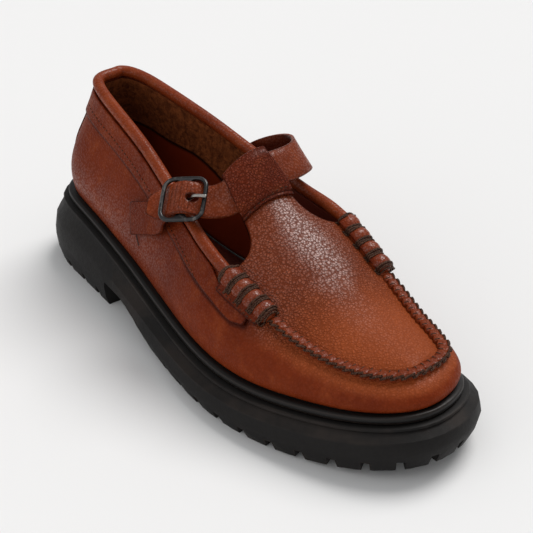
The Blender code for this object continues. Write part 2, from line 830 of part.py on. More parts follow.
def roll_section(station, side, scale):
    """Section of a beef roll: base on the wall and the apron, a domed top and a flat outer flange."""
    spot = station if side < 0 else RING - station
    seat = 1.6 * GAP
    under_flange = 3 * GAP + OVERLAY_THICKNESS
    over_flange = under_flange + 0.001
    flange_low, flange_high, foot = 0.80, 0.885, 0.955
    apron_share = 0.055 if side < 0 else 0.945
    row = int(math.floor(station))
    part = station - row
    apron = []
    for i, weight in ((row, 1 - part), (row + 1, part)):
        points = apron_row(i)
        place = apron_share * APRON_COLUMNS
        first = int(place)
        apron.append(weight * ((1 - place + first) * points[first] + (place - first) * points[first + 1]))
    normal_up = unit(UP + 0.35 * ring_value(OUTWARD_3D, spot))
    base = [
        wall_point(spot, flange_low, under_flange),
        wall_point(spot, flange_high, under_flange),
        wall_point(spot, foot, seat),
        ring_value(WALL_TOP, spot) + normal_up * seat,
    ]
    for line in SEAM:
        base.append(ring_value(line, spot) + normal_up * seat)
    base.append(sum(apron) + UP * seat)
    outer_foot = base[2] + (base[1] - base[2]) * 0.5
    inner_foot = base[-1]
    middle = (outer_foot + inner_foot) / 2
    half = (inner_foot - outer_foot) / 2
    along = unit(ring_value(TOP_LINE, spot + 0.5) - ring_value(TOP_LINE, spot - 0.5))
    facing = unit(np.cross(along, half))
    if facing[2] < 0:
        facing = -facing
    saddle = np.dot(base[3] - middle, facing)
    height = saddle + ROLL_RADIUS * scale
    dome = []
    for k in range(1, 7):
        angle = math.pi * k / 7
        dome.append(middle + half * math.cos(angle) + facing * height * math.sin(angle) ** 0.8)
    face = [wall_point(spot, flange_high, over_flange), wall_point(spot, flange_low, over_flange)]
    return np.array(base + dome + face)


def make_beef_roll(name, side):
    """Sewn roll over the end of the moc seam, pinched where the thread goes round it."""
    bulges = 4
    steps = 4
    sections = []
    for k in range(bulges * steps + 1):
        share = k / (bulges * steps)
        station = ROLL_TOP + 0.06 + share * (ROLL_BOTTOM - ROLL_TOP - 0.12)
        scale = 0.74 + 0.26 * abs(math.sin(math.pi * share * bulges))
        sections.append(roll_section(station, side, scale))
    loft(name, sections, EDGE_LEATHER)


def make_loop():
    """Folded band at the neck's end: up over the strap, down behind the neck's end and in under it."""
    over = 2 * (GAP + STRAP_EASE) + STRAP_THICKNESS
    under = UPPER_WALL + GAP
    end = len(NECK_ROWS) - 1
    thick = LOOP_THICKNESS
    path = ((2.35, GAP, 0.0), (2.72, GAP, 0.0), (2.92, over, 0.0), (end, over, GAP), (end, -under, GAP),
            (5.4, -under, 0.0), (5.4, -under - thick, 0.0), (end, -under - thick, GAP + thick),
            (end, over + thick, GAP + thick), (2.85, over + thick, 0.0), (2.65, GAP + thick, 0.0),
            (2.35, GAP + thick, 0.0))
    sections = []
    for column in range(NECK_ROWS.shape[1]):
        sections.append(np.array([neck_point(column, place, lift, beyond) for place, lift, beyond in path]))
    loft("t_bar_loop", sections, LEATHER)


def ribbon(name, rows, width, thickness, finish, steps=3, taper=()):
    """Flat strap through rows of a rear and a front edge point; taper narrows its last sections."""
    middles = [np.concatenate([(rear + front) / 2, unit(front - rear)]) for rear, front in rows]
    path = smooth_path(middles, steps)
    centres = path[:, :3]
    hints = path[:, 3:]
    tangents = unit(np.gradient(centres, axis=0))
    sections = []
    for k, (centre, hint, tangent) in enumerate(zip(centres, hints, tangents)):
        across = unit(hint - tangent * np.dot(hint, tangent))
        normal = np.cross(tangent, across)
        from_end = len(centres) - 1 - k
        half = width / 2 * (taper[from_end] if from_end < len(taper) else 1.0)
        corners = ((-half, -1), (half, -1), (half, 1), (-half, 1))
        sections.append(np.array([centre + across * a + normal * b * thickness / 2 for a, b in corners]))
    return loft(name, sections, finish)


def across_buckle(along, lift):
    """Rear and front edge of a strap that crosses the buckle."""
    return BUCKLE.point(along, -STRAP_WIDTH / 2, lift), BUCKLE.point(along, STRAP_WIDTH / 2, lift)


def make_strap():
    """Strap from the medial quarter over the binding, through the loop and the buckle to its free tail."""
    resting = GAP + STRAP_THICKNESS / 2 + 5 * STRAP_EASE
    rows = [(wall_point(66.8, 0.60, resting + 2 * STRAP_EASE), wall_point(65.5, 0.42, resting)),
            (wall_point(66.6, 0.74, 0.0055), wall_point(65.2, 0.55, 0.0070))]
    # Ring point, then how far forward, to the medial side and up from the top line there
    over_binding = (
        (64.7, -0.0010, 0.0078, -0.0085),
        (63.8, 0.0008, 0.0102, -0.0006),
        (62.2, 0.0012, 0.0092, 0.0088),
        (60.6, 0.0003, 0.0003, 0.0160),
    )
    down = np.array((0.73, 0.10, -0.68)) * STRAP_WIDTH / 2
    for station, forward, medial, up in over_binding:
        centre = ring_value(TOP_LINE, station) + np.array((forward, medial, up))
        rows.append((centre - down, centre + down))
    rows += [under_loop(column) for column in (9, 7, 5, 3, 0)]
    side_lift = -(WIRE_RADIUS + GAP + STRAP_THICKNESS / 2 + 4 * STRAP_EASE)
    bar_lift = BAR_RADIUS + GAP + STRAP_THICKNESS / 2
    rows += [across_buckle(-SIDE_REACH, side_lift), across_buckle(-0.52 * SIDE_REACH, 0.05 * bar_lift),
             across_buckle(0.0, bar_lift), across_buckle(0.52 * SIDE_REACH, 0.05 * bar_lift),
             across_buckle(SIDE_REACH, side_lift), across_buckle(SIDE_REACH + 0.0095, 1.5 * side_lift)]
    strap = ribbon("strap", rows, STRAP_WIDTH, STRAP_THICKNESS, LEATHER, taper=(0.55, 0.78, 0.97))
    hole = bmesh.new()
    axes = Matrix(np.column_stack([BUCKLE.along, BUCKLE.across, BUCKLE.lift])).to_4x4()
    place = Matrix.Translation(BUCKLE.point(-0.0047, 0.0, 0.001)) @ axes @ Matrix.Diagonal((1.35, 1, 1, 1))
    bmesh.ops.create_cone(
        hole, cap_ends=True, segments=12, radius1=PIN_HOLE / 2, radius2=PIN_HOLE / 2,
        depth=4 * STRAP_THICKNESS, matrix=place,
    )
    mesh = bpy.data.meshes.new("prong_hole")
    hole.to_mesh(mesh)
    hole.free()
    cut(strap, add_object("prong_hole", mesh, None, CUTTERS))


def make_tab():
    """Tab from the lateral quarter over band and binding to the buckle's bar."""
    resting = GAP + TAB_THICKNESS / 2 + STRAP_EASE
    over_band = resting + OVERLAY_THICKNESS + 2 * GAP
    under_bar = -(BAR_RADIUS + GAP + TAB_THICKNESS / 2)
    rows = [(wall_point(12.8, 0.56, resting), wall_point(14.1, 0.35, resting)),
            (wall_point(14.4, 0.72, over_band), wall_point(15.6, 0.53, over_band)),
            (wall_point(15.6, 0.86, over_band + 0.0012), wall_point(16.8, 0.68, over_band + 0.0004)),
            across_buckle(SIDE_REACH, -0.0064), across_buckle(0.62 * SIDE_REACH, -0.0046),
            across_buckle(0.0030, under_bar), across_buckle(-0.0010, under_bar)]
    ribbon("buckle_tab", rows, TAB_WIDTH, TAB_THICKNESS, LEATHER)


def make_buckle():
    """Wire frame with round corners and its centre bar, and the prong through the strap's hole."""
    corner = 0.0050
    half_along = SIDE_REACH
    half_across = BUCKLE_WIDTH / 2 - WIRE_RADIUS
    steps = 5
    outline = []
    for turn, (sign_along, sign_across) in enumerate(((1, 1), (-1, 1), (-1, -1), (1, -1))):
        for k in range(steps + 1):
            angle = math.pi / 2 * (turn + k / steps)
            along = sign_along * (half_along - corner) + corner * math.cos(angle)
            across = sign_across * (half_across - corner) + corner * math.sin(angle)
            outline.append(BUCKLE.point(along, across, 0.0))
    frame = meshed(tube("buckle_frame", outline, WIRE_RADIUS, GUNMETAL, cyclic=True))
    bar = meshed(tube("centre_bar", [BUCKLE.point(0, -half_across, 0), BUCKLE.point(0, half_across, 0)],
                      BAR_RADIUS, GUNMETAL))
    PARTS.objects.unlink(bar)
    CUTTERS.objects.link(bar)
    cut(frame, bar, "UNION")
    rest = WIRE_RADIUS + GAP + PRONG_RADIUS + 0.0001
    beside = BAR_RADIUS + GAP + PRONG_RADIUS
    route = ((-beside, -0.0006), (-0.0040, 0.0000), (-0.0050, 0.0016), (-0.0060, 0.0029), (-0.0078, 0.0031),
             (-SIDE_REACH, rest), (-SIDE_REACH - 0.0016, rest - 0.0005))
    tube("buckle_prong", [BUCKLE.point(along, 0.0, lift) for along, lift in route], PRONG_RADIUS, GUNMETAL)


make_outsole()
make_midsole()
make_insole()
make_upper()
make_heel_strip()
make_collar_band()
make_binding()
make_beef_roll("beef_roll_lateral", -1)
make_beef_roll("beef_roll_medial", 1)
make_loop()
make_strap()
make_tab()
make_buckle()
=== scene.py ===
"""Buckle loafer, right shoe: the finish of every piece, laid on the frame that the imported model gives."""

import math

import bpy
import numpy as np
from mathutils import Matrix, Vector
from mathutils.bvhtree import BVHTree


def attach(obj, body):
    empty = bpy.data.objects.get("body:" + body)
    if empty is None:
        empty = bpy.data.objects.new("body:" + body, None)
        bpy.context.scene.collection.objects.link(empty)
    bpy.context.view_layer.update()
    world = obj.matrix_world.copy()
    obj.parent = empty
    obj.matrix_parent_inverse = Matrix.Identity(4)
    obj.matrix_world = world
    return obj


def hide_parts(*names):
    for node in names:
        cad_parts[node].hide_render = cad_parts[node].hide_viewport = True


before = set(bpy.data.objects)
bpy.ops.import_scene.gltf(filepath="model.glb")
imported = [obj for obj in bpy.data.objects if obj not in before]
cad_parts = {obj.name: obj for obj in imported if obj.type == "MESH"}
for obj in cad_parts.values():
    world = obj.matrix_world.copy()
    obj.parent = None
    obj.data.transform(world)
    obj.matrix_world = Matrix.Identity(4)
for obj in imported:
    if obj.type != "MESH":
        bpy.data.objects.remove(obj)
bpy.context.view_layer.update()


# Outsole: one moulded unit of black rubber with a heel block, an arch, a rim bead and a lugged edge.
# It is dull from the mould, with fine pitting, dust in its hollows, and greyer edges: wear and a painted
# highlight.


class Tone:
    """A value or colour in a finish. Arithmetic on it adds Math nodes."""

    def __init__(self, finish, socket):
        self.finish = finish
        self.socket = socket

    def work(self, operation, first, second):
        return self.finish.add("ShaderNodeMath", {"operation": operation}, {0: first, 1: second})

    def __add__(self, other):
        return self.work("ADD", self, other)

    __radd__ = __add__

    def __sub__(self, other):
        return self.work("SUBTRACT", self, other)

    def __rsub__(self, other):
        return self.work("SUBTRACT", other, self)

    def __mul__(self, other):
        return self.work("MULTIPLY", self, other)

    def most(self, other):
        return self.work("MAXIMUM", self, other)

    def rise(self, start, end):
        """Soft step from 0 at start to 1 at end. It falls instead where end is the smaller."""
        low, high, first, last = (start, end, 0.0, 1.0) if start < end else (end, start, 1.0, 0.0)
        ends = {"Value": self, "From Min": low, "From Max": high, "To Min": first, "To Max": last}
        return self.finish.add("ShaderNodeMapRange", {"interpolation_type": "SMOOTHSTEP"}, ends)


class Finish:
    """A material in the making. Each method adds one node and gives what comes out of it."""

    def __init__(self, name):
        self.material = bpy.data.materials.new(name)
        self.material.use_nodes = True
        self.tree = self.material.node_tree
        self.shader = self.tree.nodes["Principled BSDF"]

    def give(self, socket, value):
        if isinstance(value, Tone):
            self.tree.links.new(value.socket, socket)
        else:
            socket.default_value = value

    def add(self, kind, settings, values, output=0):
        node = self.tree.nodes.new(kind)
        for key, value in settings.items():
            setattr(node, key, value)
        for key, value in values.items():
            self.give(node.inputs[key], value)
        return Tone(self, node.outputs[output])

    def place(self):
        return self.add("ShaderNodeTexCoord", {}, {}, "Object")

    def facing(self, axis):
        normal = self.add("ShaderNodeTexCoord", {}, {}, "Normal")
        return self.add("ShaderNodeSeparateXYZ", {}, {0: normal}, axis)

    def along(self, axis):
        """The place along one axis, in millimetres."""
        return self.add("ShaderNodeSeparateXYZ", {}, {0: self.place()}, axis) * 1000.0

    def noise(self, place, scale, detail=2.0, rough=0.5, output="Fac"):
        values = {"Vector": place, "Scale": scale, "Detail": detail, "Roughness": rough}
        return self.add("ShaderNodeTexNoise", {}, values, output)

    def cells(self, place, scale, feature="DISTANCE_TO_EDGE"):
        return self.add("ShaderNodeTexVoronoi", {"feature": feature}, {"Vector": place, "Scale": scale})

    def blur(self, place, scale, reach):
        """The place pushed about by soft noise, so that a pattern on it isn't regular."""
        push = self.noise(place, scale, 2.0, 0.5, "Color")
        values = {0: push, 1: (reach, reach, reach), 2: place}
        return self.add("ShaderNodeVectorMath", {"operation": "MULTIPLY_ADD"}, values)

    def stretched(self, place, stretch):
        return self.add("ShaderNodeVectorMath", {"operation": "MULTIPLY"}, {0: place, 1: stretch})

    def from_spot(self, operation, spot):
        """DISTANCE from a spot, or DOT_PRODUCT with a direction."""
        ends = {0: self.place(), 1: tuple(spot)}
        return self.add("ShaderNodeVectorMath", {"operation": operation}, ends, "Value")

    def marked(self, name):
        return self.add("ShaderNodeAttribute", {"attribute_name": name}, {}, "Fac")

    def mix(self, share, first, second):
        colours = [value if isinstance(value, Tone) else (*value, 1.0) for value in (first, second)]
        return self.add("ShaderNodeMix", {"data_type": "RGBA"}, {0: share, 6: colours[0], 7: colours[1]}, 2)

    def relief(self, height, depth, under=None):
        values = {"Height": height, "Distance": depth, "Strength": 1.0}
        if under:
            values["Normal"] = under
        return self.add("ShaderNodeBump", {}, values)

    def surface(self, **sockets):
        """Feeds the shader, sockets named with _ for a blank, and gives the finished material."""
        for name, value in sockets.items():
            self.give(self.shader.inputs[name.replace("_", " ")], value)
        return self.material


# Points of a solid nearer than this are one point
MERGE_WITHIN = 0.000005


def pick(piece):
    """Only this piece selected and active."""
    bpy.ops.object.select_all(action="DESELECT")
    piece.select_set(True)
    bpy.context.view_layer.objects.active = piece


def from_frame(node, name, flat=50.0):
    """A solid of the frame as a piece of its own, its triangles merged, and paired where they lie flat."""
    piece = bpy.data.objects.new(name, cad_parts[node].data.copy())
    piece.data.materials.clear()
    bpy.context.scene.collection.objects.link(piece)
    pick(piece)
    bpy.ops.mesh.customdata_custom_splitnormals_clear()
    bpy.ops.object.mode_set(mode="EDIT")
    bpy.ops.mesh.select_all(action="SELECT")
    bpy.ops.mesh.remove_doubles(threshold=MERGE_WITHIN)
    bpy.ops.mesh.tris_convert_to_quads(face_threshold=math.radians(flat), shape_threshold=math.pi)
    bpy.ops.object.mode_set(mode="OBJECT")
    return piece


def sharp_lines(piece, angle):
    """Selects the edges where faces turn by more than the angle, and gives their ends."""
    pick(piece)
    bpy.ops.object.mode_set(mode="EDIT")
    bpy.ops.mesh.select_mode(type="EDGE")
    bpy.ops.mesh.select_all(action="DESELECT")
    bpy.ops.mesh.edges_select_sharp(sharpness=math.radians(angle))
    bpy.ops.object.mode_set(mode="OBJECT")
    spots = piece.data.vertices
    return np.array([[spots[i].co[:] for i in edge.vertices] for edge in piece.data.edges if edge.select])


def spots_of(piece):
    """The piece's points as rows of x, y, z."""
    spots = np.empty(len(piece.data.vertices) * 3)
    piece.data.vertices.foreach_get("co", spots)
    return spots.reshape(-1, 3)


def mark_distance(piece, lines, name):
    """Keeps each point's distance to the nearest line, in millimetres, under a name that a finish reads."""
    spots = spots_of(piece)
    nearest = np.full(len(spots), 1.0)
    for start, end in lines:
        run = end - start
        share = np.clip((spots - start) @ run / max(run @ run, 1e-12), 0, 1)
        nearest = np.minimum(nearest, np.linalg.norm(spots - start - share[:, None] * run, axis=1))
    marks = piece.data.attributes.new(name, "FLOAT", "POINT")
    marks.data.foreach_set("value", nearest * 1000)


def apply(piece, kind, **settings):
    """One modifier, set and applied."""
    pick(piece)
    step = piece.modifiers.new(kind.lower(), kind)
    for key, value in settings.items():
        setattr(step, key, value)
    bpy.ops.object.modifier_apply(modifier=step.name)


def belongs(piece, slot, finishes, *nodes):
    """Gives the piece its finishes and hides the solids of the frame that it stands for. Slot is not used."""
    for finish in finishes:
        piece.data.materials.append(finish)
    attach(piece, "root")
    if nodes:
        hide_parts(*nodes)


rubber = Finish("black_rubber")
rubber_place = rubber.place()
rubber_cloud = rubber.noise(rubber_place, 38.0, 3.0, 0.6)
rubber_pits = rubber.noise(rubber_place, 1500.0, 2.0, 0.6)
rubber_grain = rubber.noise(rubber_place, 420.0, 3.0, 0.65)
# Sharp edges painted paler: partly wear, partly a painted highlight along the rim.
edge_wear_and_highlight = rubber.marked("from_edge").rise(1.1, 0.1) * rubber_cloud.rise(0.38, 0.66)
dusty = rubber_grain.rise(0.52, 0.78) * rubber.along("Z").rise(20.0, 0.0)
ribs = rubber.add("ShaderNodeTexWave", {"bands_direction": "X", "wave_profile": "TRI"},
                  {"Vector": rubber_place, "Scale": 62.0, "Distortion": 0.0})
tread = ribs.rise(0.30, 0.45) * rubber.facing("Z").rise(-0.75, -0.95)
rubber_colour = rubber.mix(rubber_cloud, (0.0046, 0.0038, 0.0035), (0.0088, 0.0072, 0.0066))
rubber_colour = rubber.mix(edge_wear_and_highlight * 0.40, rubber_colour, (0.034, 0.024, 0.019))
rubber_colour = rubber.mix(dusty * 0.16, rubber_colour, (0.040, 0.033, 0.028))
rubber_relief = rubber.relief(tread, 0.0012, rubber.relief(rubber_pits + rubber_grain, 0.00010))
black_rubber = rubber.surface(Base_Color=rubber_colour, Roughness=0.50 + rubber_grain * 0.22,
                              Normal=rubber_relief, Specular_IOR_Level=0.20)

# Turns in degrees under which faces count as one, and over which an edge is rounded
SOLE_FLAT = 0.6
SOLE_SHARP = 32.0
SOLE_ROUNDING = 0.0005

outsole = from_frame("outsole", "lugged_outsole", flat=12.0)
bpy.ops.object.mode_set(mode="EDIT")
bpy.ops.mesh.select_all(action="SELECT")
bpy.ops.mesh.dissolve_limited(angle_limit=math.radians(SOLE_FLAT))
bpy.ops.object.mode_set(mode="OBJECT")
outsole_edges = sharp_lines(outsole, SOLE_SHARP)
apply(outsole, "BEVEL", width=SOLE_ROUNDING, segments=2, limit_method="ANGLE",
      angle_limit=math.radians(SOLE_SHARP))
bpy.ops.object.shade_smooth_by_angle(angle=math.radians(SOLE_SHARP))
mark_distance(outsole, outsole_edges, "from_edge")
belongs(outsole, "sole_rubber", [black_rubber], "outsole")


# Midsole: the black plate between the outsole's rim and the upper, seen as a narrow shiny welt step.
# It is cut from smooth rubber sheet and cemented, so it is sleeker than the outsole below it.


def soften(piece, levels, angle, hold):
    """Rounds a piece with subdivision, its sharp edges held. Gives the lines of those edges."""
    lines = sharp_lines(piece, angle)
    bpy.ops.object.mode_set(mode="EDIT")
    bpy.ops.transform.edge_crease(value=hold)
    bpy.ops.mesh.select_all(action="DESELECT")
    bpy.ops.object.mode_set(mode="OBJECT")
    apply(piece, "SUBSURF", levels=levels, render_levels=levels)
    bpy.ops.object.shade_smooth()
    return lines


welt = Finish("black_welt")
welt_place = welt.place()
welt_grain = welt.noise(welt_place, 600.0, 3.0, 0.6)
welt_colour = welt.mix(welt.noise(welt_place, 45.0), (0.0035, 0.0029, 0.0027), (0.0070, 0.0056, 0.0050))
welt_worn = welt.marked("from_edge").rise(0.7, 0.0) * welt_grain
welt_colour = welt.mix(welt_worn * 0.4, welt_colour, (0.06, 0.035, 0.024))
black_welt = welt.surface(Base_Color=welt_colour, Roughness=0.34 + welt_grain * 0.18,
                          Normal=welt.relief(welt_grain, 0.00008), Specular_IOR_Level=0.24)

midsole = from_frame("midsole", "welt_plate")
midsole_edges = soften(midsole, 1, 40.0, 0.9)
mark_distance(midsole, midsole_edges, "from_edge")
belongs(midsole, "sole_rubber", [black_welt], "midsole")


# Insole: a dark red-brown leather sock over thin foam, cemented to the plate inside the upper.
# Its face is smooth, a little polished under the heel, with a fine grain.

sock = Finish("dark_red_sock")
sock_place = sock.place()
sock_cloud = sock.noise(sock_place, 34.0, 4.0, 0.6)
sock_grain = sock.cells(sock.blur(sock_place, 300.0, 0.0012), 1300.0).rise(0.0, 0.35)
sock_colour = sock.mix(sock_cloud.rise(0.35, 0.68), (0.072, 0.0080, 0.0018), (0.125, 0.0150, 0.0032))
sock_colour = sock.mix((1.0 - sock_grain) * 0.35, sock_colour, (0.022, 0.003, 0.001))
sock_leather = sock.surface(Base_Color=sock_colour, Roughness=0.46 + sock_cloud * 0.2,
                            Normal=sock.relief(sock_grain, 0.00010), Specular_IOR_Level=0.18)

insole = from_frame("insole", "insole_sock")
soften(insole, 2, 50.0, 0.6)
belongs(insole, "sock", [sock_leather], "insole")


# Upper: vamp, quarters, apron and T-bar neck of cognac leather, drawn over the last as one hollow shell.
# The apron and neck are pebbled and shiny, the toe and walls smoother. Inside, the heel has brown suede round
# its top, dark red leather turned up from the sock below that, and smooth lining in front.


def pebbled(finish, colours, pebble, gloss, size=800.0, shade=None, lightening=0.0, polish=0.14):
    """Pebbled leather, darkened by shade (stains and painted shade), paler by lightening and shinier by
    polish.

    Colours are the groove's, the deep one, the body's and the bright one. Size counts pebbles in a metre.
    """
    groove, deep, body, bright = colours
    place = finish.place()
    loose = finish.blur(place, 260.0, 0.0022)
    domes = finish.cells(loose, size, "F1").rise(0.72, 0.16)
    tops = domes * 0.62 + finish.cells(loose, size).rise(-0.06, 0.40) * 0.38
    folds = finish.cells(finish.blur(place, 90.0, 0.006), size * 0.31).rise(-0.05, 0.26)
    cloud = finish.noise(place, 24.0, 4.0, 0.55)
    blotch = finish.noise(place, 120.0, 4.0, 0.62)
    pores = finish.noise(place, 2600.0, 2.0, 0.6)
    colour = finish.mix(cloud.rise(0.34, 0.66), deep, body)
    colour = finish.mix(blotch.rise(0.46, 0.80) * 0.34, colour, bright)
    if lightening:
        colour = finish.mix(lightening, colour, bright)
    colour = finish.mix((1.0 - tops) * pebble * 0.66, colour, groove)
    colour = finish.mix((1.0 - folds) * 0.12, colour, groove)
    if shade:
        colour = finish.mix(shade, colour, groove)
    roughness = gloss + (1.0 - tops) * 0.20 + (blotch - 0.5) * 0.16 + pores * 0.05
    height = tops * pebble + folds * 0.30 * pebble + pores * 0.07
    gleam = (0.05 + tops * 1.15) * polish
    return {"Base_Color": colour, "Roughness": roughness, "Normal": finish.relief(height, 0.00055),
            "Coat_Weight": gleam, "Coat_Roughness": 0.30, "Specular_IOR_Level": 0.06}


# Groove, deep, body and bright
COGNAC = (
    (0.040, 0.0044, 0.0010),
    (0.136, 0.0168, 0.0030),
    (0.192, 0.0275, 0.0052),
    (0.385, 0.0860, 0.0225),
)

hide = Finish("cognac_leather")
on_top = hide.facing("Z").rise(0.58, 0.90)
toward_toe = hide.along("X").rise(52.0, 90.0)
near_neck = hide.along("X").rise(76.0, 44.0)
pebbles = 0.22 + on_top * (0.78 - toward_toe * 0.56)
# Painted shade: the upper is darkened within a few millimetres of the moc seam's crest, under the puckers.
seam_shade = hide.marked("from_seam").rise(2.6, 0.8) * 0.55
cut_dirt = hide.marked("from_edge").rise(1.0, 0.1) * 0.75
# Painted shadow: the wall is darkened just below the foot of the collar band.
band_shadow = hide.marked("from_band").rise(2.8, 1.0) * 0.88
low_wall = hide.along("Z").rise(70.0, 42.0) * hide.along("X").rise(20.0, -60.0)
# Painted light: the tops are made paler by lightening, as if lit from above, more so toward the toe.
hide_look = pebbled(hide, COGNAC, pebbles, 0.36, shade=seam_shade.most(cut_dirt).most(band_shadow),
                    lightening=on_top * (0.46 + toward_toe * 0.20),
                    polish=0.05 + on_top * (0.08 + near_neck * 0.87) + (1.0 - on_top) * low_wall * 0.50)
cognac_leather = hide.surface(**hide_look)

suede = Finish("heel_suede_and_front_lining")
suede_place = suede.place()
nap = suede.noise(suede.blur(suede_place, 150.0, 0.010), 330.0, 4.0, 0.7)
fuzz = suede.noise(suede.stretched(suede_place, (1.0, 1.0, 0.5)), 1500.0, 3.0, 0.7)
hollow = suede.noise(suede_place, 55.0, 3.0, 0.6)
height_inside = suede.along("Z") + suede.along("X") * 0.30
# The suede is painted paler lower down and toward the back, along a noisy edge.
paler_low_and_back = (height_inside + (hollow - 0.5) * 22.0).rise(46.0, 18.0)
suede_colour = suede.mix(nap.rise(0.30, 0.72), (0.072, 0.0160, 0.0042), (0.250, 0.0680, 0.0190))
suede_colour = suede.mix(paler_low_and_back * 0.75, suede_colour, (0.380, 0.1200, 0.0360))
suede_colour = suede.mix(fuzz.rise(0.50, 0.75) * 0.35, suede_colour, (0.360, 0.1250, 0.0440))
front = (suede.along("X") + (hollow - 0.5) * 3.0).rise(-6.0, -3.0)
middle_height = suede.along("Z").rise(33.0, 43.0) * suede.along("Z").rise(62.0, 52.0)
smooth_lining = suede.mix(middle_height, (0.140, 0.0260, 0.0150), (0.034, 0.0160, 0.0145))
past_heel = (suede.along("X") + 76.0).most(0.0)
turned_up = suede.along("Z") + past_heel * past_heel * 0.011 + (hollow - 0.5) * 2.0
sock_side = turned_up.rise(67.4, 66.6)
# Painted shade: a thin dark line along the edge of the turned-up leather, where it steps.
sock_rim_shade = turned_up.rise(65.2, 66.4) * turned_up.rise(68.4, 67.2)
turned_colour = suede.mix(hollow, (0.115, 0.0130, 0.0030), (0.180, 0.0220, 0.0050))
suede_colour = suede.mix(sock_side, suede_colour, turned_colour)
suede_colour = suede.mix(sock_rim_shade * 0.75, suede_colour, (0.020, 0.0050, 0.0016))
suede_colour = suede.mix(front, suede_colour, smooth_lining)
smooth_part = front.most(sock_side)
suede_height = (nap * 0.8 + fuzz * 0.5) * (1.0 - smooth_part * 0.88) + (1.0 - sock_side)
heel_suede = suede.surface(Base_Color=suede_colour, Roughness=0.92 - smooth_part * 0.42,
                           Normal=suede.relief(suede_height, 0.0009), Specular_IOR_Level=0.10)

# Middle line of the shoe: how far forward, then how far to the medial side
MIDDLE_LINE = ((-0.100, -0.003), (-0.060, -0.002), (0.000, -0.001), (0.060, 0.002), (0.095, 0.004))


def line_inside(piece):
    """Gives the second finish to the faces that look in at the foot."""
    stations, sides = zip(*MIDDLE_LINE)
    for face in piece.data.polygons:
        x = min(max(face.center.x, stations[0]), stations[-1])
        middle = Vector((x, float(np.interp(x, stations, sides)), 0.0))
        face.material_index = 1 if face.normal.dot(face.center - middle) < 0 else 0


def unit(vectors):
    """The vectors at length one."""
    return vectors / np.linalg.norm(vectors, axis=-1, keepdims=True)


def smooth_run(points, step):
    """Places and directions at even steps along the smooth curve through the points."""
    points = np.array(points, float)
    knots = np.concatenate([[0], np.cumsum(np.linalg.norm(np.diff(points, axis=0), axis=1))])
    slopes = np.gradient(points, knots, axis=0)
    fine = np.linspace(0, knots[-1], 40 * len(points))
    span = np.clip(np.searchsorted(knots, fine, side="right") - 1, 0, len(knots) - 2)
    width = (knots[span + 1] - knots[span])[:, None]
    t = (fine - knots[span])[:, None] / width
    curve = (2 * t**3 - 3 * t**2 + 1) * points[span] + (t**3 - 2 * t**2 + t) * width * slopes[span]
    curve += (3 * t**2 - 2 * t**3) * points[span + 1] + (t**3 - t**2) * width * slopes[span + 1]
    run = np.concatenate([[0], np.cumsum(np.linalg.norm(np.diff(curve, axis=0), axis=1))])
    even = np.linspace(0, run[-1], max(round(run[-1] / step), 1) + 1)
    places = np.column_stack([np.interp(even, run, curve[:, axis]) for axis in range(3)])
    return places, unit(np.gradient(places, axis=0))


# Crest of the seam between apron and vamp, from the lateral roll round the toe to the medial roll
SEAM_CREST = (
    (0.0545, -0.0244, 0.0491), (0.0682, -0.0233, 0.0469), (0.0820, -0.0206, 0.0442),
    (0.0954, -0.0166, 0.0427), (0.1069, -0.0115, 0.0426), (0.1153, -0.0053, 0.0433),
    (0.1197, 0.0014, 0.0441), (0.1201, 0.0084, 0.0442), (0.1188, 0.0170, 0.0439),
    (0.1147, 0.0248, 0.0438), (0.1045, 0.0290, 0.0441), (0.0900, 0.0322, 0.0451),
    (0.0751, 0.0350, 0.0483), (0.0605, 0.0364, 0.0521),
)

# Creases that wear has left, above the sole: from, to (forward and to the medial side), depth and half width
CREASES_FROM = 0.028
FLEX_CREASES = (
    ((0.050, -0.018), (0.066, 0.026), 0.0004, 0.0065),
    ((0.062, -0.018), (0.074, 0.006), 0.0004, 0.0045),
    ((0.056, 0.030), (0.070, 0.020), 0.0005, 0.0045),
    ((0.030, -0.044), (0.050, -0.036), 0.0007, 0.0050),
    ((0.060, -0.046), (0.072, -0.036), 0.0006, 0.0045),
    ((0.036, 0.048), (0.058, 0.043), 0.0008, 0.0055),
)
# Dents in the walls: where, how far they reach and how deep they go
WALL_DENTS = (
    ((-0.084, -0.026, 0.072), 0.016, 0.0010), ((-0.040, -0.036, 0.046), 0.022, 0.0009),
    ((0.010, -0.040, 0.040), 0.020, -0.0006), ((-0.075, 0.022, 0.066), 0.020, 0.0009),
    ((-0.010, 0.036, 0.052), 0.018, 0.0010), ((0.084, -0.036, 0.032), 0.016, 0.0005),
    ((0.092, 0.008, 0.052), 0.020, 0.0005),
)


def work_in(piece):
    """Presses the creases and dents in as soft troughs with a low ridge on either side."""
    spots = spots_of(piece)
    normals = np.empty(len(spots) * 3)
    piece.data.vertices.foreach_get("normal", normals)
    inward = np.zeros(len(spots))
    for start, end, depth, width in FLEX_CREASES:
        start, end = np.array(start), np.array(end)
        run = end - start
        share = (spots[:, :2] - start) @ run / (run @ run)
        off = np.linalg.norm(spots[:, :2] - start - np.clip(share, 0, 1)[:, None] * run, axis=1) / width
        inward += depth * (1 - 0.7 * off**2) * np.exp(-off**2) * (spots[:, 2] > CREASES_FROM)
    for centre, reach, depth in WALL_DENTS:
        inward += depth * np.exp(-(np.linalg.norm(spots - np.array(centre), axis=1) / reach) ** 2)
    outer = np.zeros(len(spots), bool)
    for face in piece.data.polygons:
        if face.material_index == 0:
            outer[list(face.vertices)] = True
    sign = np.where(outer, -1.0, 1.0)[:, None]
    spots += normals.reshape(-1, 3) * sign * inward[:, None]
    piece.data.vertices.foreach_set("co", spots.ravel())
    piece.data.update()


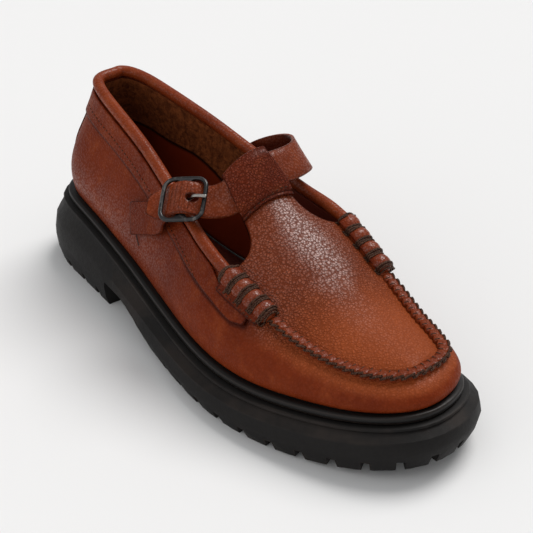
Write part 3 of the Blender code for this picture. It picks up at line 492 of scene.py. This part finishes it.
upper = from_frame("upper", "vamp_and_quarters")
line_inside(upper)
upper_edges = soften(upper, 1, 58.0, 0.9)
work_in(upper)
apply(upper, "SUBSURF", levels=1, render_levels=1)
seam_line, _ = smooth_run(SEAM_CREST, 0.004)
mark_distance(upper, list(zip(seam_line[:-1], seam_line[1:])), "from_seam")
mark_distance(upper, upper_edges, "from_edge")
belongs(upper, "leather", [cognac_leather, heel_suede], "upper")


# Moc seam: the vamp's edge, gathered against the apron's and drawn up by the thread into small puckers.
# The same leather as the upper. Slanted stitches of waxed dark thread overlap along its outer side.


def skin_of(*pieces):
    """What a ray meets: the faces of these pieces."""
    points = []
    faces = []
    for piece in pieces:
        first = len(points)
        points += [vertex.co.copy() for vertex in piece.data.vertices]
        faces += [[first + i for i in face.vertices] for face in piece.data.polygons]
    return BVHTree.FromPolygons(points, faces)


def meet(skin, start, toward):
    """Where a ray meets the skin before it reaches its target, and the way the skin faces there."""
    start = Vector(start)
    path = Vector(toward) - start
    spot, normal, _, _ = skin.ray_cast(start, path.normalized(), path.length)
    if spot is None:
        return None, None
    return np.array(spot), np.array(normal)


def seated(spot, along, facing):
    """Turns a small shape's x along a line and its z the way the surface faces."""
    side = np.cross(facing, along)
    side /= np.linalg.norm(side)
    up = np.cross(along, side)
    columns = np.column_stack([along, side, up, spot])
    return Matrix([*columns.tolist(), (0.0, 0.0, 0.0, 1.0)])


def lay(pattern, name, seats):
    """Copies of one small shape, each on its seat, joined to one piece."""
    copies = []
    for seat in seats:
        copy = bpy.data.objects.new(name, pattern.data.copy())
        copy.data.transform(seat)
        bpy.context.scene.collection.objects.link(copy)
        copies.append(copy)
    bpy.data.objects.remove(pattern)
    bpy.ops.object.select_all(action="DESELECT")
    for copy in copies:
        copy.select_set(True)
    bpy.context.view_layer.objects.active = copies[0]
    bpy.ops.object.join()
    bpy.ops.object.shade_smooth()
    return copies[0]


def sewn(name, runs, thickness, finish):
    """Round thread along each run of points, made a mesh."""
    line = bpy.data.curves.new(name, "CURVE")
    line.dimensions = "3D"
    line.bevel_depth = thickness / 2
    line.bevel_resolution = 1
    line.use_fill_caps = True
    for run in runs:
        spline = line.splines.new("POLY")
        spline.points.add(len(run) - 1)
        for point, spot in zip(spline.points, run):
            point.co = (*spot, 1.0)
    piece = bpy.data.objects.new(name, line)
    bpy.context.scene.collection.objects.link(piece)
    pick(piece)
    bpy.ops.object.convert(target="MESH")
    bpy.ops.object.shade_smooth()
    belongs(piece, "edge_leather", [finish])


waxed = Finish("waxed_thread")
waxed_place = waxed.place()
twist = waxed.noise(waxed_place, 1900.0, 2.0, 0.5)
waxed_colour = waxed.mix(twist.rise(0.38, 0.62), (0.019, 0.0072, 0.0042), (0.098, 0.044, 0.026))
waxed_thread = waxed.surface(Base_Color=waxed_colour, Roughness=0.55, Specular_IOR_Level=0.12,
                             Normal=waxed.relief(twist, 0.0004))

pucker_hide = Finish("gathered_leather")
pucker_look = pebbled(pucker_hide, COGNAC, 0.45, 0.34, size=900.0, lightening=0.15, polish=0.40)
gathered_leather = pucker_hide.surface(**pucker_look)

PUCKER_PITCH = 0.0041
PUCKER_SIZE = (0.0053, 0.0050, 0.0042)
PUCKER_TURN = 24.0
# How far the puckers sit below the crest and to its outer side
PUCKER_SINK = 0.0008
PUCKER_OUTSET = 0.0004
THREAD_THICKNESS = 0.00120
# Where the thread is laid: depth of the centre under the crest, and how far from it a ray starts
SEAM_DEPTH = 0.0012
SEAM_REACH = 0.006
# Stitches: length in puckers, lean at one end and how much it grows in degrees, lift of the thread's middle
STITCH_OVERLAP = 1.22
STITCH_LEAN = 13.0
STITCH_RISE = 27.0
STITCH_LIFT = 0.00042
# Pinches over the apron's side: leans in degrees, drift along the seam for each degree, lift
PINCH_LEANS = range(84, 133, 8)
PINCH_DRIFT = 0.002
PINCH_LIFT = -0.00005

bpy.ops.object.select_all(action="DESELECT")
bpy.ops.mesh.primitive_cube_add(size=1.0)
pucker = bpy.context.object
bpy.ops.object.mode_set(mode="EDIT")
bpy.ops.mesh.select_all(action="SELECT")
bpy.ops.mesh.subdivide(number_cuts=1)
bpy.ops.transform.resize(value=PUCKER_SIZE, center_override=(0.0, 0.0, 0.0))
bpy.ops.transform.rotate(value=math.radians(PUCKER_TURN), orient_axis="Z", center_override=(0.0, 0.0, 0.0))
bpy.ops.object.mode_set(mode="OBJECT")
apply(pucker, "SUBSURF", levels=2, render_levels=2)

leather_skin = skin_of(upper)
crest, crest_runs = smooth_run(SEAM_CREST, PUCKER_PITCH)
crest_sides = unit(np.cross(crest_runs, (0.0, 0.0, 1.0)))
for row, spot in enumerate(crest):
    found, _ = meet(leather_skin, spot + np.array((0, 0, 0.02)), spot)
    if found is not None:
        crest[row] = found
pucker_seats = [seated(spot - np.array((0, 0, PUCKER_SINK)) + side * PUCKER_OUTSET, run, (0.0, 0.0, 1.0))
                for spot, side, run in zip(crest, crest_sides, crest_runs)]
puckers = lay(pucker, "moc_seam_puckers", pucker_seats)
belongs(puckers, "leather", [gathered_leather])

seam_skin = skin_of(upper, puckers)


def over_seam(share, angle, lift):
    """A point on the seam: share counts puckers along it, angle leans from its outer side to the apron."""
    first = min(int(share), len(crest) - 2)
    part = share - first
    spot = (1 - part) * crest[first] + part * crest[first + 1]
    side = unit((1 - part) * crest_sides[first] + part * crest_sides[first + 1])
    outward = side * math.cos(angle) + np.array((0, 0, 1)) * math.sin(angle)
    low = spot - np.array((0, 0, SEAM_DEPTH))
    found, _ = meet(seam_skin, low + outward * SEAM_REACH, low)
    return low if found is None else found + outward * lift


slanted = []
crossings = []
for pinch in range(len(crest) - 1):
    middle = pinch + 0.5
    slanted.append([over_seam(middle + STITCH_OVERLAP * (part - 0.5),
                              math.radians(STITCH_LEAN + STITCH_RISE * part), STITCH_LIFT)
                    for part in np.linspace(0.0, 1.0, 9)])
    crossings.append([over_seam(middle + PINCH_DRIFT * turn, math.radians(turn), PINCH_LIFT)
                      for turn in PINCH_LEANS])
sewn("moc_seam_thread", slanted, THREAD_THICKNESS, waxed_thread)
sewn("moc_seam_crossings", crossings, 0.5 * THREAD_THICKNESS, waxed_thread)


# Heel strip: a raised leather strip that covers the back seam, thickest low down at the heel's swell.
# It is stitched down both sides with its cut edges stained dark.

strip_hide = Finish("strip_leather")
strip_edge = strip_hide.marked("from_edge")
strip_groove = strip_edge.rise(0.9, 0.2).most(strip_edge.rise(1.5, 1.9) * strip_edge.rise(2.7, 2.3) * 0.7)
strip_look = pebbled(strip_hide, COGNAC, 0.32, 0.35, shade=strip_groove * 0.85)
strip_leather = strip_hide.surface(**strip_look)

heel_strip = from_frame("heel_strip", "heel_strip_cover")
strip_edges = soften(heel_strip, 3, 50.0, 0.75)
mark_distance(heel_strip, strip_edges, "from_edge")
belongs(heel_strip, "leather", [strip_leather], "heel_strip")


# Collar band: a leather band under the topline, from one roll round the heel to the other.
# Its lower edge is turned, pressed and stitched down with fine dark thread.

band_hide = Finish("band_leather")
band_edge = band_hide.marked("from_edge")
# Painted shade: the band's lower edge is darkened as the shade of its crease.
band_look = pebbled(band_hide, COGNAC, 0.34, 0.34, shade=band_edge.rise(1.0, 0.2) * 0.9)
band_leather = band_hide.surface(**band_look)

# Top line of the wall on each side, from the heel forward to the roll
LATERAL_TOP = ((-0.1154, 0.0004, 0.0997), (-0.1121, -0.0077, 0.0996), (-0.0940, -0.0131, 0.0964),
               (-0.0619, -0.0162, 0.0884), (-0.0284, -0.0212, 0.0774), (0.0043, -0.0270, 0.0665),
               (0.0272, -0.0295, 0.0583))
MEDIAL_TOP = ((-0.1154, 0.0004, 0.0997), (-0.1159, 0.0083, 0.0996), (-0.0982, 0.0180, 0.0973),
              (-0.0625, 0.0247, 0.0896), (-0.0294, 0.0317, 0.0793), (0.0042, 0.0373, 0.0713),
              (0.0294, 0.0399, 0.0644))

# How far under the top line the band's foot begins, where its stitches run, and the share of the line
# that they leave out at the heel
BAND_FOOT = 0.0075
BAND_STITCHES = 0.0112
BAND_UNSEWN = 0.08


def under_top_line(lines, drop):
    """The lines that lie more than a drop below the top line."""
    forward, _, heights = zip(*LATERAL_TOP)
    middles = lines.mean(axis=1)
    return lines[middles[:, 2] < np.interp(middles[:, 0], forward, heights) - drop]


collar_band = from_frame("collar_band", "collar_band_leather")
band_edges = soften(collar_band, 2, 50.0, 0.95)
band_foot = under_top_line(band_edges, BAND_FOOT)
mark_distance(collar_band, band_foot, "from_edge")
# Distance to the band's foot, for the painted shadow on the wall below it.
mark_distance(upper, band_foot, "from_band")
belongs(collar_band, "leather", [band_leather], "collar_band")

FINE_STITCH = (0.0019, 0.00055, 0.00055)
FINE_PITCH = 0.0028
FINE_LIFT = 0.0001
# A gap outside these isn't sewn: the ray has met another piece
SHORTEST_GAP = 0.0005
LONGEST_GAP = 0.006
# How far outside the wall a ray starts, and how far inside it the ray ends
OUTSIDE_WALL = 0.030
INSIDE_WALL = 0.010


def fine_stitch():
    """One short stitch along x, rounded at its ends."""
    bpy.ops.object.select_all(action="DESELECT")
    bpy.ops.mesh.primitive_cube_add(size=1.0)
    stitch = bpy.context.object
    bpy.ops.object.mode_set(mode="EDIT")
    bpy.ops.mesh.select_all(action="SELECT")
    bpy.ops.transform.resize(value=FINE_STITCH, center_override=(0.0, 0.0, 0.0))
    bpy.ops.object.mode_set(mode="OBJECT")
    apply(stitch, "SUBSURF", levels=1, render_levels=1)
    return stitch


def stitch_row(name, skin, starts, toward):
    """Fine stitches where rays from the starts, each toward its own target, meet the skin."""
    seats = []
    found = [meet(skin, start, target) for start, target in zip(starts, toward)]
    for here, ahead in zip(found, found[1:]):
        if here[0] is None or ahead[0] is None:
            continue
        gap = ahead[0] - here[0]
        length = np.linalg.norm(gap)
        if SHORTEST_GAP < length < LONGEST_GAP:
            seats.append(seated((here[0] + ahead[0]) / 2 + here[1] * FINE_LIFT, gap / length, here[1]))
    piece = lay(fine_stitch(), name, seats)
    belongs(piece, "edge_leather", [waxed_thread])


def beside_wall(line, sign):
    """Starts outside the wall and targets inside it, for the band's stitches.

    Sign is -1 on the lateral side and 1 on the medial one.
    """
    places, runs = smooth_run(line, FINE_PITCH)
    sewn_from = int(BAND_UNSEWN * len(places))
    sides = unit(np.cross(runs, (0.0, 0.0, 1.0))) * -sign
    level = places - np.array((0.0, 0.0, BAND_STITCHES))
    return (level + sides * OUTSIDE_WALL)[sewn_from:], (level - sides * INSIDE_WALL)[sewn_from:]


band_skin = skin_of(collar_band)
for side_name, line, sign in (("lateral", LATERAL_TOP, -1.0), ("medial", MEDIAL_TOP, 1.0)):
    starts, targets = beside_wall(line, sign)
    stitch_row("band_stitches_" + side_name, band_skin, starts, targets)


# Collar binding: the thick rolled edge of the topline and of the cut-outs, tan leather over a cord core.
# The leather is drawn tight round the roll, so it is smoother, with fine cross wrinkles and rubbed crowns.

# Groove, deep, body and bright
TAN = (
    (0.066, 0.0076, 0.0018),
    (0.170, 0.0250, 0.0050),
    (0.235, 0.0390, 0.0080),
    (0.360, 0.0840, 0.0230),
)

roll_hide = Finish("tan_rolled_leather")
roll_place = roll_hide.place()
wrinkles = roll_hide.noise(roll_hide.stretched(roll_place, (1.0, 0.35, 0.35)), 620.0, 3.0, 0.6)
# Painted shade: the roll's cross wrinkles are darkened.
wrinkle_shade = wrinkles.rise(0.58, 0.74) * 0.28
roll_look = pebbled(roll_hide, TAN, 0.22, 0.36, size=980.0, shade=wrinkle_shade, polish=0.45)
roll_look["Normal"] = roll_hide.relief(wrinkles, 0.00045, roll_look["Normal"])
tan_leather = roll_hide.surface(**roll_look)

# How much fuller the roll is drawn, and how its last bit at each end goes down under the beef roll
BINDING_FILL = 0.00065
BINDING_END = 0.0022
UNDER_ROLL = (0.0060, 0.0004, -0.0022)

binding = from_frame("collar_binding", "rolled_binding")
spots = binding.data.vertices
pick(binding)
bpy.ops.object.mode_set(mode="EDIT")
bpy.ops.mesh.select_all(action="SELECT")
bpy.ops.transform.shrink_fatten(value=BINDING_FILL)
bpy.ops.mesh.select_all(action="DESELECT")
bpy.ops.object.mode_set(mode="OBJECT")
lateral_end = max(spot.co.x for spot in spots if spot.co.y < 0)
medial_end = max(spot.co.x for spot in spots if spot.co.y > 0)
for spot in spots:
    spot.select = spot.co.x > (medial_end if spot.co.y > 0 else lateral_end) - BINDING_END
bpy.ops.object.mode_set(mode="EDIT")
bpy.ops.transform.translate(value=UNDER_ROLL)
bpy.ops.object.mode_set(mode="OBJECT")
soften(binding, 2, 60.0, 0.4)
belongs(binding, "edge_leather", [tan_leather], "collar_binding")


# Beef rolls: the ends of the moc seam, rolled up over a core and bound hard with turns of waxed thread.
# Four glossy bulges stand between the bindings, and the flange below them is stitched to the wall.

bulge_hide = Finish("beef_roll_leather")
bulge_look = pebbled(bulge_hide, TAN, 0.35, 0.28, size=850.0, polish=0.95)
bulge_leather = bulge_hide.surface(**bulge_look)

flange_hide = Finish("roll_flange_leather")
flange_edge = flange_hide.marked("from_edge").rise(1.5, 0.4) * 0.88
flange_look = pebbled(flange_hide, COGNAC, 0.40, 0.34, shade=flange_edge)
flange_leather = flange_hide.surface(**flange_look)

# Top and bottom end of each roll's axis, and the way that its crown faces
ROLL_AXES = {
    "lateral": ((0.0262, -0.0280, 0.0585), (0.0550, -0.0252, 0.0485), (0.10, -0.34, 1.0)),
    "medial": ((0.0285, 0.0385, 0.0645), (0.0605, 0.0372, 0.0515), (0.10, 0.40, 1.0)),
}
BULGES = 4
BULGE_SIZE = (0.0055, 0.0056, 0.0048)
BULGE_SINK = 0.0034
# How far above the axis a ray starts to look for a bulge's seat, and how far below it the ray ends
SEAT_ABOVE = 0.015
SEAT_BELOW = 0.006
# Flange: how far it is drawn in, how far from the axis its stitches run, their number, and where their rays
# start above the axis and end below it
FLANGE_SINK = -0.0005
FLANGE_STITCH_SIDE = 0.0074
FLANGE_STITCHES = 13
FLANGE_ABOVE = 0.010
FLANGE_BELOW = 0.012
# Bindings: strands along the axis, share left free at either end, leans in degrees, depth of the centre,
# where a strand is laid from, its reach and its lift
WRAP_STRANDS = (-0.00105, 0.0, 0.00105)
WRAP_INSET = 0.02
WRAP_LEANS = range(-72, 73, 8)
WRAP_CENTRE = 0.0015
WRAP_START = 0.0095
WRAP_REACH = 0.0078
WRAP_LIFT = 0.0003

wraps = []
for side_name, (top, bottom, facing) in ROLL_AXES.items():
    flange = from_frame("beef_roll_" + side_name, "beef_roll_" + side_name + "_flange", flat=70.0)
    pick(flange)
    bpy.ops.object.mode_set(mode="EDIT")
    bpy.ops.mesh.select_all(action="SELECT")
    bpy.ops.transform.shrink_fatten(value=FLANGE_SINK)
    bpy.ops.object.mode_set(mode="OBJECT")
    flange_lines = soften(flange, 2, 75.0, 0.2)
    mark_distance(flange, flange_lines, "from_edge")
    belongs(flange, "edge_leather", [flange_leather], "beef_roll_" + side_name)

    top, bottom = np.array(top), np.array(bottom)
    axis = unit(bottom - top)
    crown = unit(np.array(facing) - axis * (np.array(facing) @ axis))
    across = np.cross(axis, crown)
    base_skin = skin_of(upper, flange)
    bpy.ops.object.select_all(action="DESELECT")
    bpy.ops.mesh.primitive_uv_sphere_add(segments=20, ring_count=12, radius=1.0)
    bulge = bpy.context.object
    bpy.ops.object.mode_set(mode="EDIT")
    bpy.ops.mesh.select_all(action="SELECT")
    bpy.ops.transform.resize(value=BULGE_SIZE, center_override=(0.0, 0.0, 0.0))
    bpy.ops.object.mode_set(mode="OBJECT")
    apply(bulge, "SUBSURF", levels=1, render_levels=1)
    seats = []
    for number in range(BULGES):
        middle = top + (bottom - top) * (number + 0.5) / BULGES
        found, _ = meet(base_skin, middle + crown * SEAT_ABOVE, middle - crown * SEAT_BELOW)
        seats.append(seated(found - crown * BULGE_SINK, axis, crown))
    bulges = lay(bulge, "beef_roll_" + side_name + "_bulges", seats)
    belongs(bulges, "edge_leather", [bulge_leather])

    bound_skin = skin_of(upper, flange, bulges)
    for number in range(BULGES + 1):
        for spread in WRAP_STRANDS:
            share = WRAP_INSET + (1 - 2 * WRAP_INSET) * number / BULGES
            centre = top + (bottom - top) * share + axis * spread - crown * WRAP_CENTRE
            wrap = []
            for degrees in WRAP_LEANS:
                lean = math.radians(degrees)
                outward = crown * math.cos(lean) + across * math.sin(lean)
                found, _ = meet(bound_skin, centre + outward * WRAP_START, centre)
                if found is not None and np.linalg.norm(found - centre) < WRAP_REACH:
                    wrap.append(found + outward * WRAP_LIFT)
            wraps.append(wrap)
    outward = across * np.sign(across[1] * top[1])
    shares = np.linspace(WRAP_INSET, 1 - WRAP_INSET, FLANGE_STITCHES)
    line = [top + (bottom - top) * share + outward * FLANGE_STITCH_SIDE for share in shares]
    stitch_row("flange_stitches_" + side_name, skin_of(upper, flange, collar_band),
               [spot + crown * FLANGE_ABOVE for spot in line], [spot - crown * FLANGE_BELOW for spot in line])
sewn("beef_roll_bindings", wraps, 0.95 * THREAD_THICKNESS, waxed_thread)


# T-bar loop: the end of the T-bar is folded down round the strap and stitched across in front.
# Pebbled cognac leather, shiny on its crown, with dark cut edges.

loop_hide = Finish("loop_leather")
loop_edge = loop_hide.marked("from_edge")
loop_look = pebbled(loop_hide, COGNAC, 1.05, 0.36, shade=loop_edge.rise(0.7, 0.1) * 0.8, polish=0.22)
loop_leather = loop_hide.surface(**loop_look)

loop = from_frame("t_bar_loop", "t_bar_loop_leather")
loop_edges = soften(loop, 2, 60.0, 0.6)
mark_distance(loop, loop_edges, "from_edge")
belongs(loop, "leather", [loop_leather], "t_bar_loop")

# The stitches cross the neck here, dropped on it from above
LOOP_STITCHES = 0.0143
LOOP_ABOVE = 0.130
LOOP_BELOW = 0.050
loop_sides = np.arange(-0.0090, 0.0190, 0.0026)
stitch_row("loop_stitches", skin_of(loop, upper),
           [np.array((LOOP_STITCHES, y, LOOP_ABOVE)) for y in loop_sides],
           [np.array((LOOP_STITCHES, y, LOOP_BELOW)) for y in loop_sides])


# Buckle tab: a short tab that comes out of a slit in the lateral quarter and holds the buckle's bar.
# Cognac leather with dark stained edges, as the strap's. The leather is wrinkled where the buckle holds it.

strap_hide = Finish("strap_leather")
strap_edge = strap_hide.marked("from_edge")
strap_shade = strap_edge.rise(0.8, 0.2) * 0.75
# The flesh side is painted near black, partly its own colour and partly painted shade under the strap.
flesh_side_and_shade = strap_hide.marked("underneath")
buckle_middle = np.mean(spots_of(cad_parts["buckle_frame"]), axis=0)
pin_middle = np.mean(spots_of(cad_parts["buckle_prong"]), axis=0)
strap_way = unit(pin_middle - buckle_middle)
in_buckle = strap_hide.from_spot("DISTANCE", buckle_middle).rise(0.0100, 0.0060)
waves = strap_hide.add("ShaderNodeMath", {"operation": "SINE"},
                       {0: strap_hide.from_spot("DOT_PRODUCT", strap_way) * 2300.0})
# Painted light: higher up, over the instep, the strap is made paler by lightening, as if lit from above.
raised = strap_hide.along("Z").rise(66.0, 84.0)
strap_look = pebbled(strap_hide, COGNAC, 0.50, 0.36, shade=strap_shade.most(flesh_side_and_shade * 0.93),
                     lightening=raised * 0.20, polish=0.05 + raised * 0.50)
strap_look["Normal"] = strap_hide.relief(waves * in_buckle, 0.00045, strap_look["Normal"])
strap_leather = strap_hide.surface(**strap_look)


def mark_underneath(piece, centre):
    """Marks the points that look in at the shoe, for the dark flesh side, painted near black partly as shade.
    """
    marks = piece.data.attributes.new("underneath", "FLOAT", "POINT")
    away = [vertex.normal.dot((vertex.co - centre).normalized()) for vertex in piece.data.vertices]
    marks.data.foreach_set("value", [min(max(-3 * value, 0.0), 1.0) for value in away])


tab = from_frame("buckle_tab", "buckle_tab_leather")
tab_edges = soften(tab, 2, 50.0, 0.8)
mark_distance(tab, tab_edges, "from_edge")
mark_underneath(tab, Vector((-0.030, 0.005, 0.045)))
belongs(tab, "leather", [strap_leather], "buckle_tab")

# Slits in the quarters: where the tab and the strap come out, as ends of a line seen from outside
SLITS = {
    "tab_slit": ((-0.0520, -0.060, 0.0530), (-0.0430, -0.060, 0.0428)),
    "strap_slit": ((-0.0570, 0.075, 0.0700), (-0.0400, 0.075, 0.0500)),
}
SLIT_WIDTH = 0.0009
SLIT_SINK = 0.0001
# A dark line is laid along each slit: the stained edge and the painted shadow of the gap beneath the tab and
# strap.
slit_paint = Finish("slit_stain_and_shadow")
slit_paint_colour = slit_paint.mix(slit_paint.noise(slit_paint.place(), 900.0), (0.006, 0.002, 0.001), (0.022, 0.006, 0.003))
slit_stain_and_shadow = slit_paint.surface(Base_Color=slit_paint_colour, Roughness=0.7)
quarter_skin = skin_of(upper, collar_band)
for slit_name, (start, end) in SLITS.items():
    slit = []
    for outside in np.linspace(start, end, 12):
        found, normal = meet(quarter_skin, outside, outside * (1, 0, 1))
        slit.append(found - normal * SLIT_SINK)
    sewn(slit_name, [slit], SLIT_WIDTH, slit_stain_and_shadow)


# Buckle: a round-cornered wire frame with a centre bar and a bent pin, cast and dark nickelled.
# The plating is rubbed to bright metal along the crowns.

metal = Finish("gunmetal_plate")
metal_place = metal.place()
scratches = metal.noise(metal.stretched(metal_place, (1.0, 0.3, 1.0)), 900.0, 3.0, 0.7)
rub = metal.noise(metal_place, 260.0, 3.0, 0.6)
metal_colour = metal.mix(rub.rise(0.50, 0.70), (0.045, 0.044, 0.045), (0.150, 0.142, 0.135))
gunmetal = metal.surface(Base_Color=metal_colour, Metallic=1.0, Roughness=0.24 + scratches * 0.2,
                         Normal=metal.relief(scratches, 0.00004))

pin_metal = Finish("rubbed_pin_metal")
pin_place = pin_metal.place()
pin_rub = pin_metal.noise(pin_place, 500.0, 3.0, 0.6)
pin_colour = pin_metal.mix(pin_rub, (0.18, 0.172, 0.160), (0.42, 0.400, 0.370))
bright_pin = pin_metal.surface(Base_Color=pin_colour, Metallic=1.0, Roughness=0.26 + pin_rub * 0.14)

buckle = from_frame("buckle_frame", "buckle_wire", flat=80.0)
soften(buckle, 2, 85.0, 0.0)
belongs(buckle, "gunmetal", [gunmetal], "buckle_frame")

pin = from_frame("buckle_prong", "buckle_pin", flat=80.0)
soften(pin, 2, 80.0, 0.5)
belongs(pin, "gunmetal", [bright_pin], "buckle_prong")


# Strap: from the medial quarter over the instep, through the loop and the buckle to a free, cornered tail.
# The tab's leather, with dark stained edges and a dark flesh side, painted near black partly as shade.

strap = from_frame("strap", "instep_strap")
strap_edges = soften(strap, 2, 50.0, 0.85)
mark_distance(strap, strap_edges, "from_edge")
mark_underneath(strap, Vector((-0.020, 0.005, 0.045)))
belongs(strap, "leather", [strap_leather], "strap")


# The shot: a pale floor under soft overhead light, and the camera at the photograph's angle.

floor_finish = Finish("pale_floor")
floor_cloud = floor_finish.noise(floor_finish.place(), 3.0)
floor_colour = floor_finish.mix(floor_cloud, (0.772, 0.772, 0.772), (0.786, 0.786, 0.786))
pale_floor = floor_finish.surface(Base_Color=floor_colour, Roughness=0.85, Specular_IOR_Level=0.1)
bpy.ops.object.select_all(action="DESELECT")
bpy.ops.mesh.primitive_plane_add(size=14.0)
floor = bpy.context.object
floor.name = "studio_floor"
floor.data.materials.append(pale_floor)

world = bpy.data.worlds.new("studio")
world.use_nodes = True
backdrop = world.node_tree.nodes["Background"]
backdrop.inputs["Color"].default_value = (0.985, 0.992, 1.0, 1.0)
backdrop.inputs["Strength"].default_value = 0.46
bpy.context.scene.world = world
bpy.context.scene.view_settings.view_transform = "Standard"

bpy.ops.object.light_add(type="SUN", location=(0.0, 1.0, 2.0))
key = bpy.context.object
key.data.energy = 2.2
key.data.color = (1.0, 0.985, 0.970)
key.data.angle = math.radians(34.0)
key.rotation_euler = Vector((-0.10, 0.52, 0.85)).to_track_quat("Z", "Y").to_euler()

bpy.ops.object.light_add(type="SUN", location=(0.5, -1.5, 1.0))
fill = bpy.context.object
fill.data.energy = 0.62
fill.data.angle = math.radians(70.0)
fill.rotation_euler = Vector((0.10, -0.80, 0.55)).to_track_quat("Z", "Y").to_euler()

EYE = Vector((0.51044, -0.37738, 0.42519))
AIM = Vector((0.0072, 0.0097, 0.0400))
camera_data = bpy.data.cameras.new("photo_camera")
camera_data.lens = 104.0
camera_data.sensor_width = 36.0
camera = bpy.data.objects.new("photo_camera", camera_data)
bpy.context.scene.collection.objects.link(camera)
camera.location = EYE
camera.rotation_euler = (EYE - AIM).to_track_quat("Z", "Y").to_euler()
bpy.context.scene.camera = camera
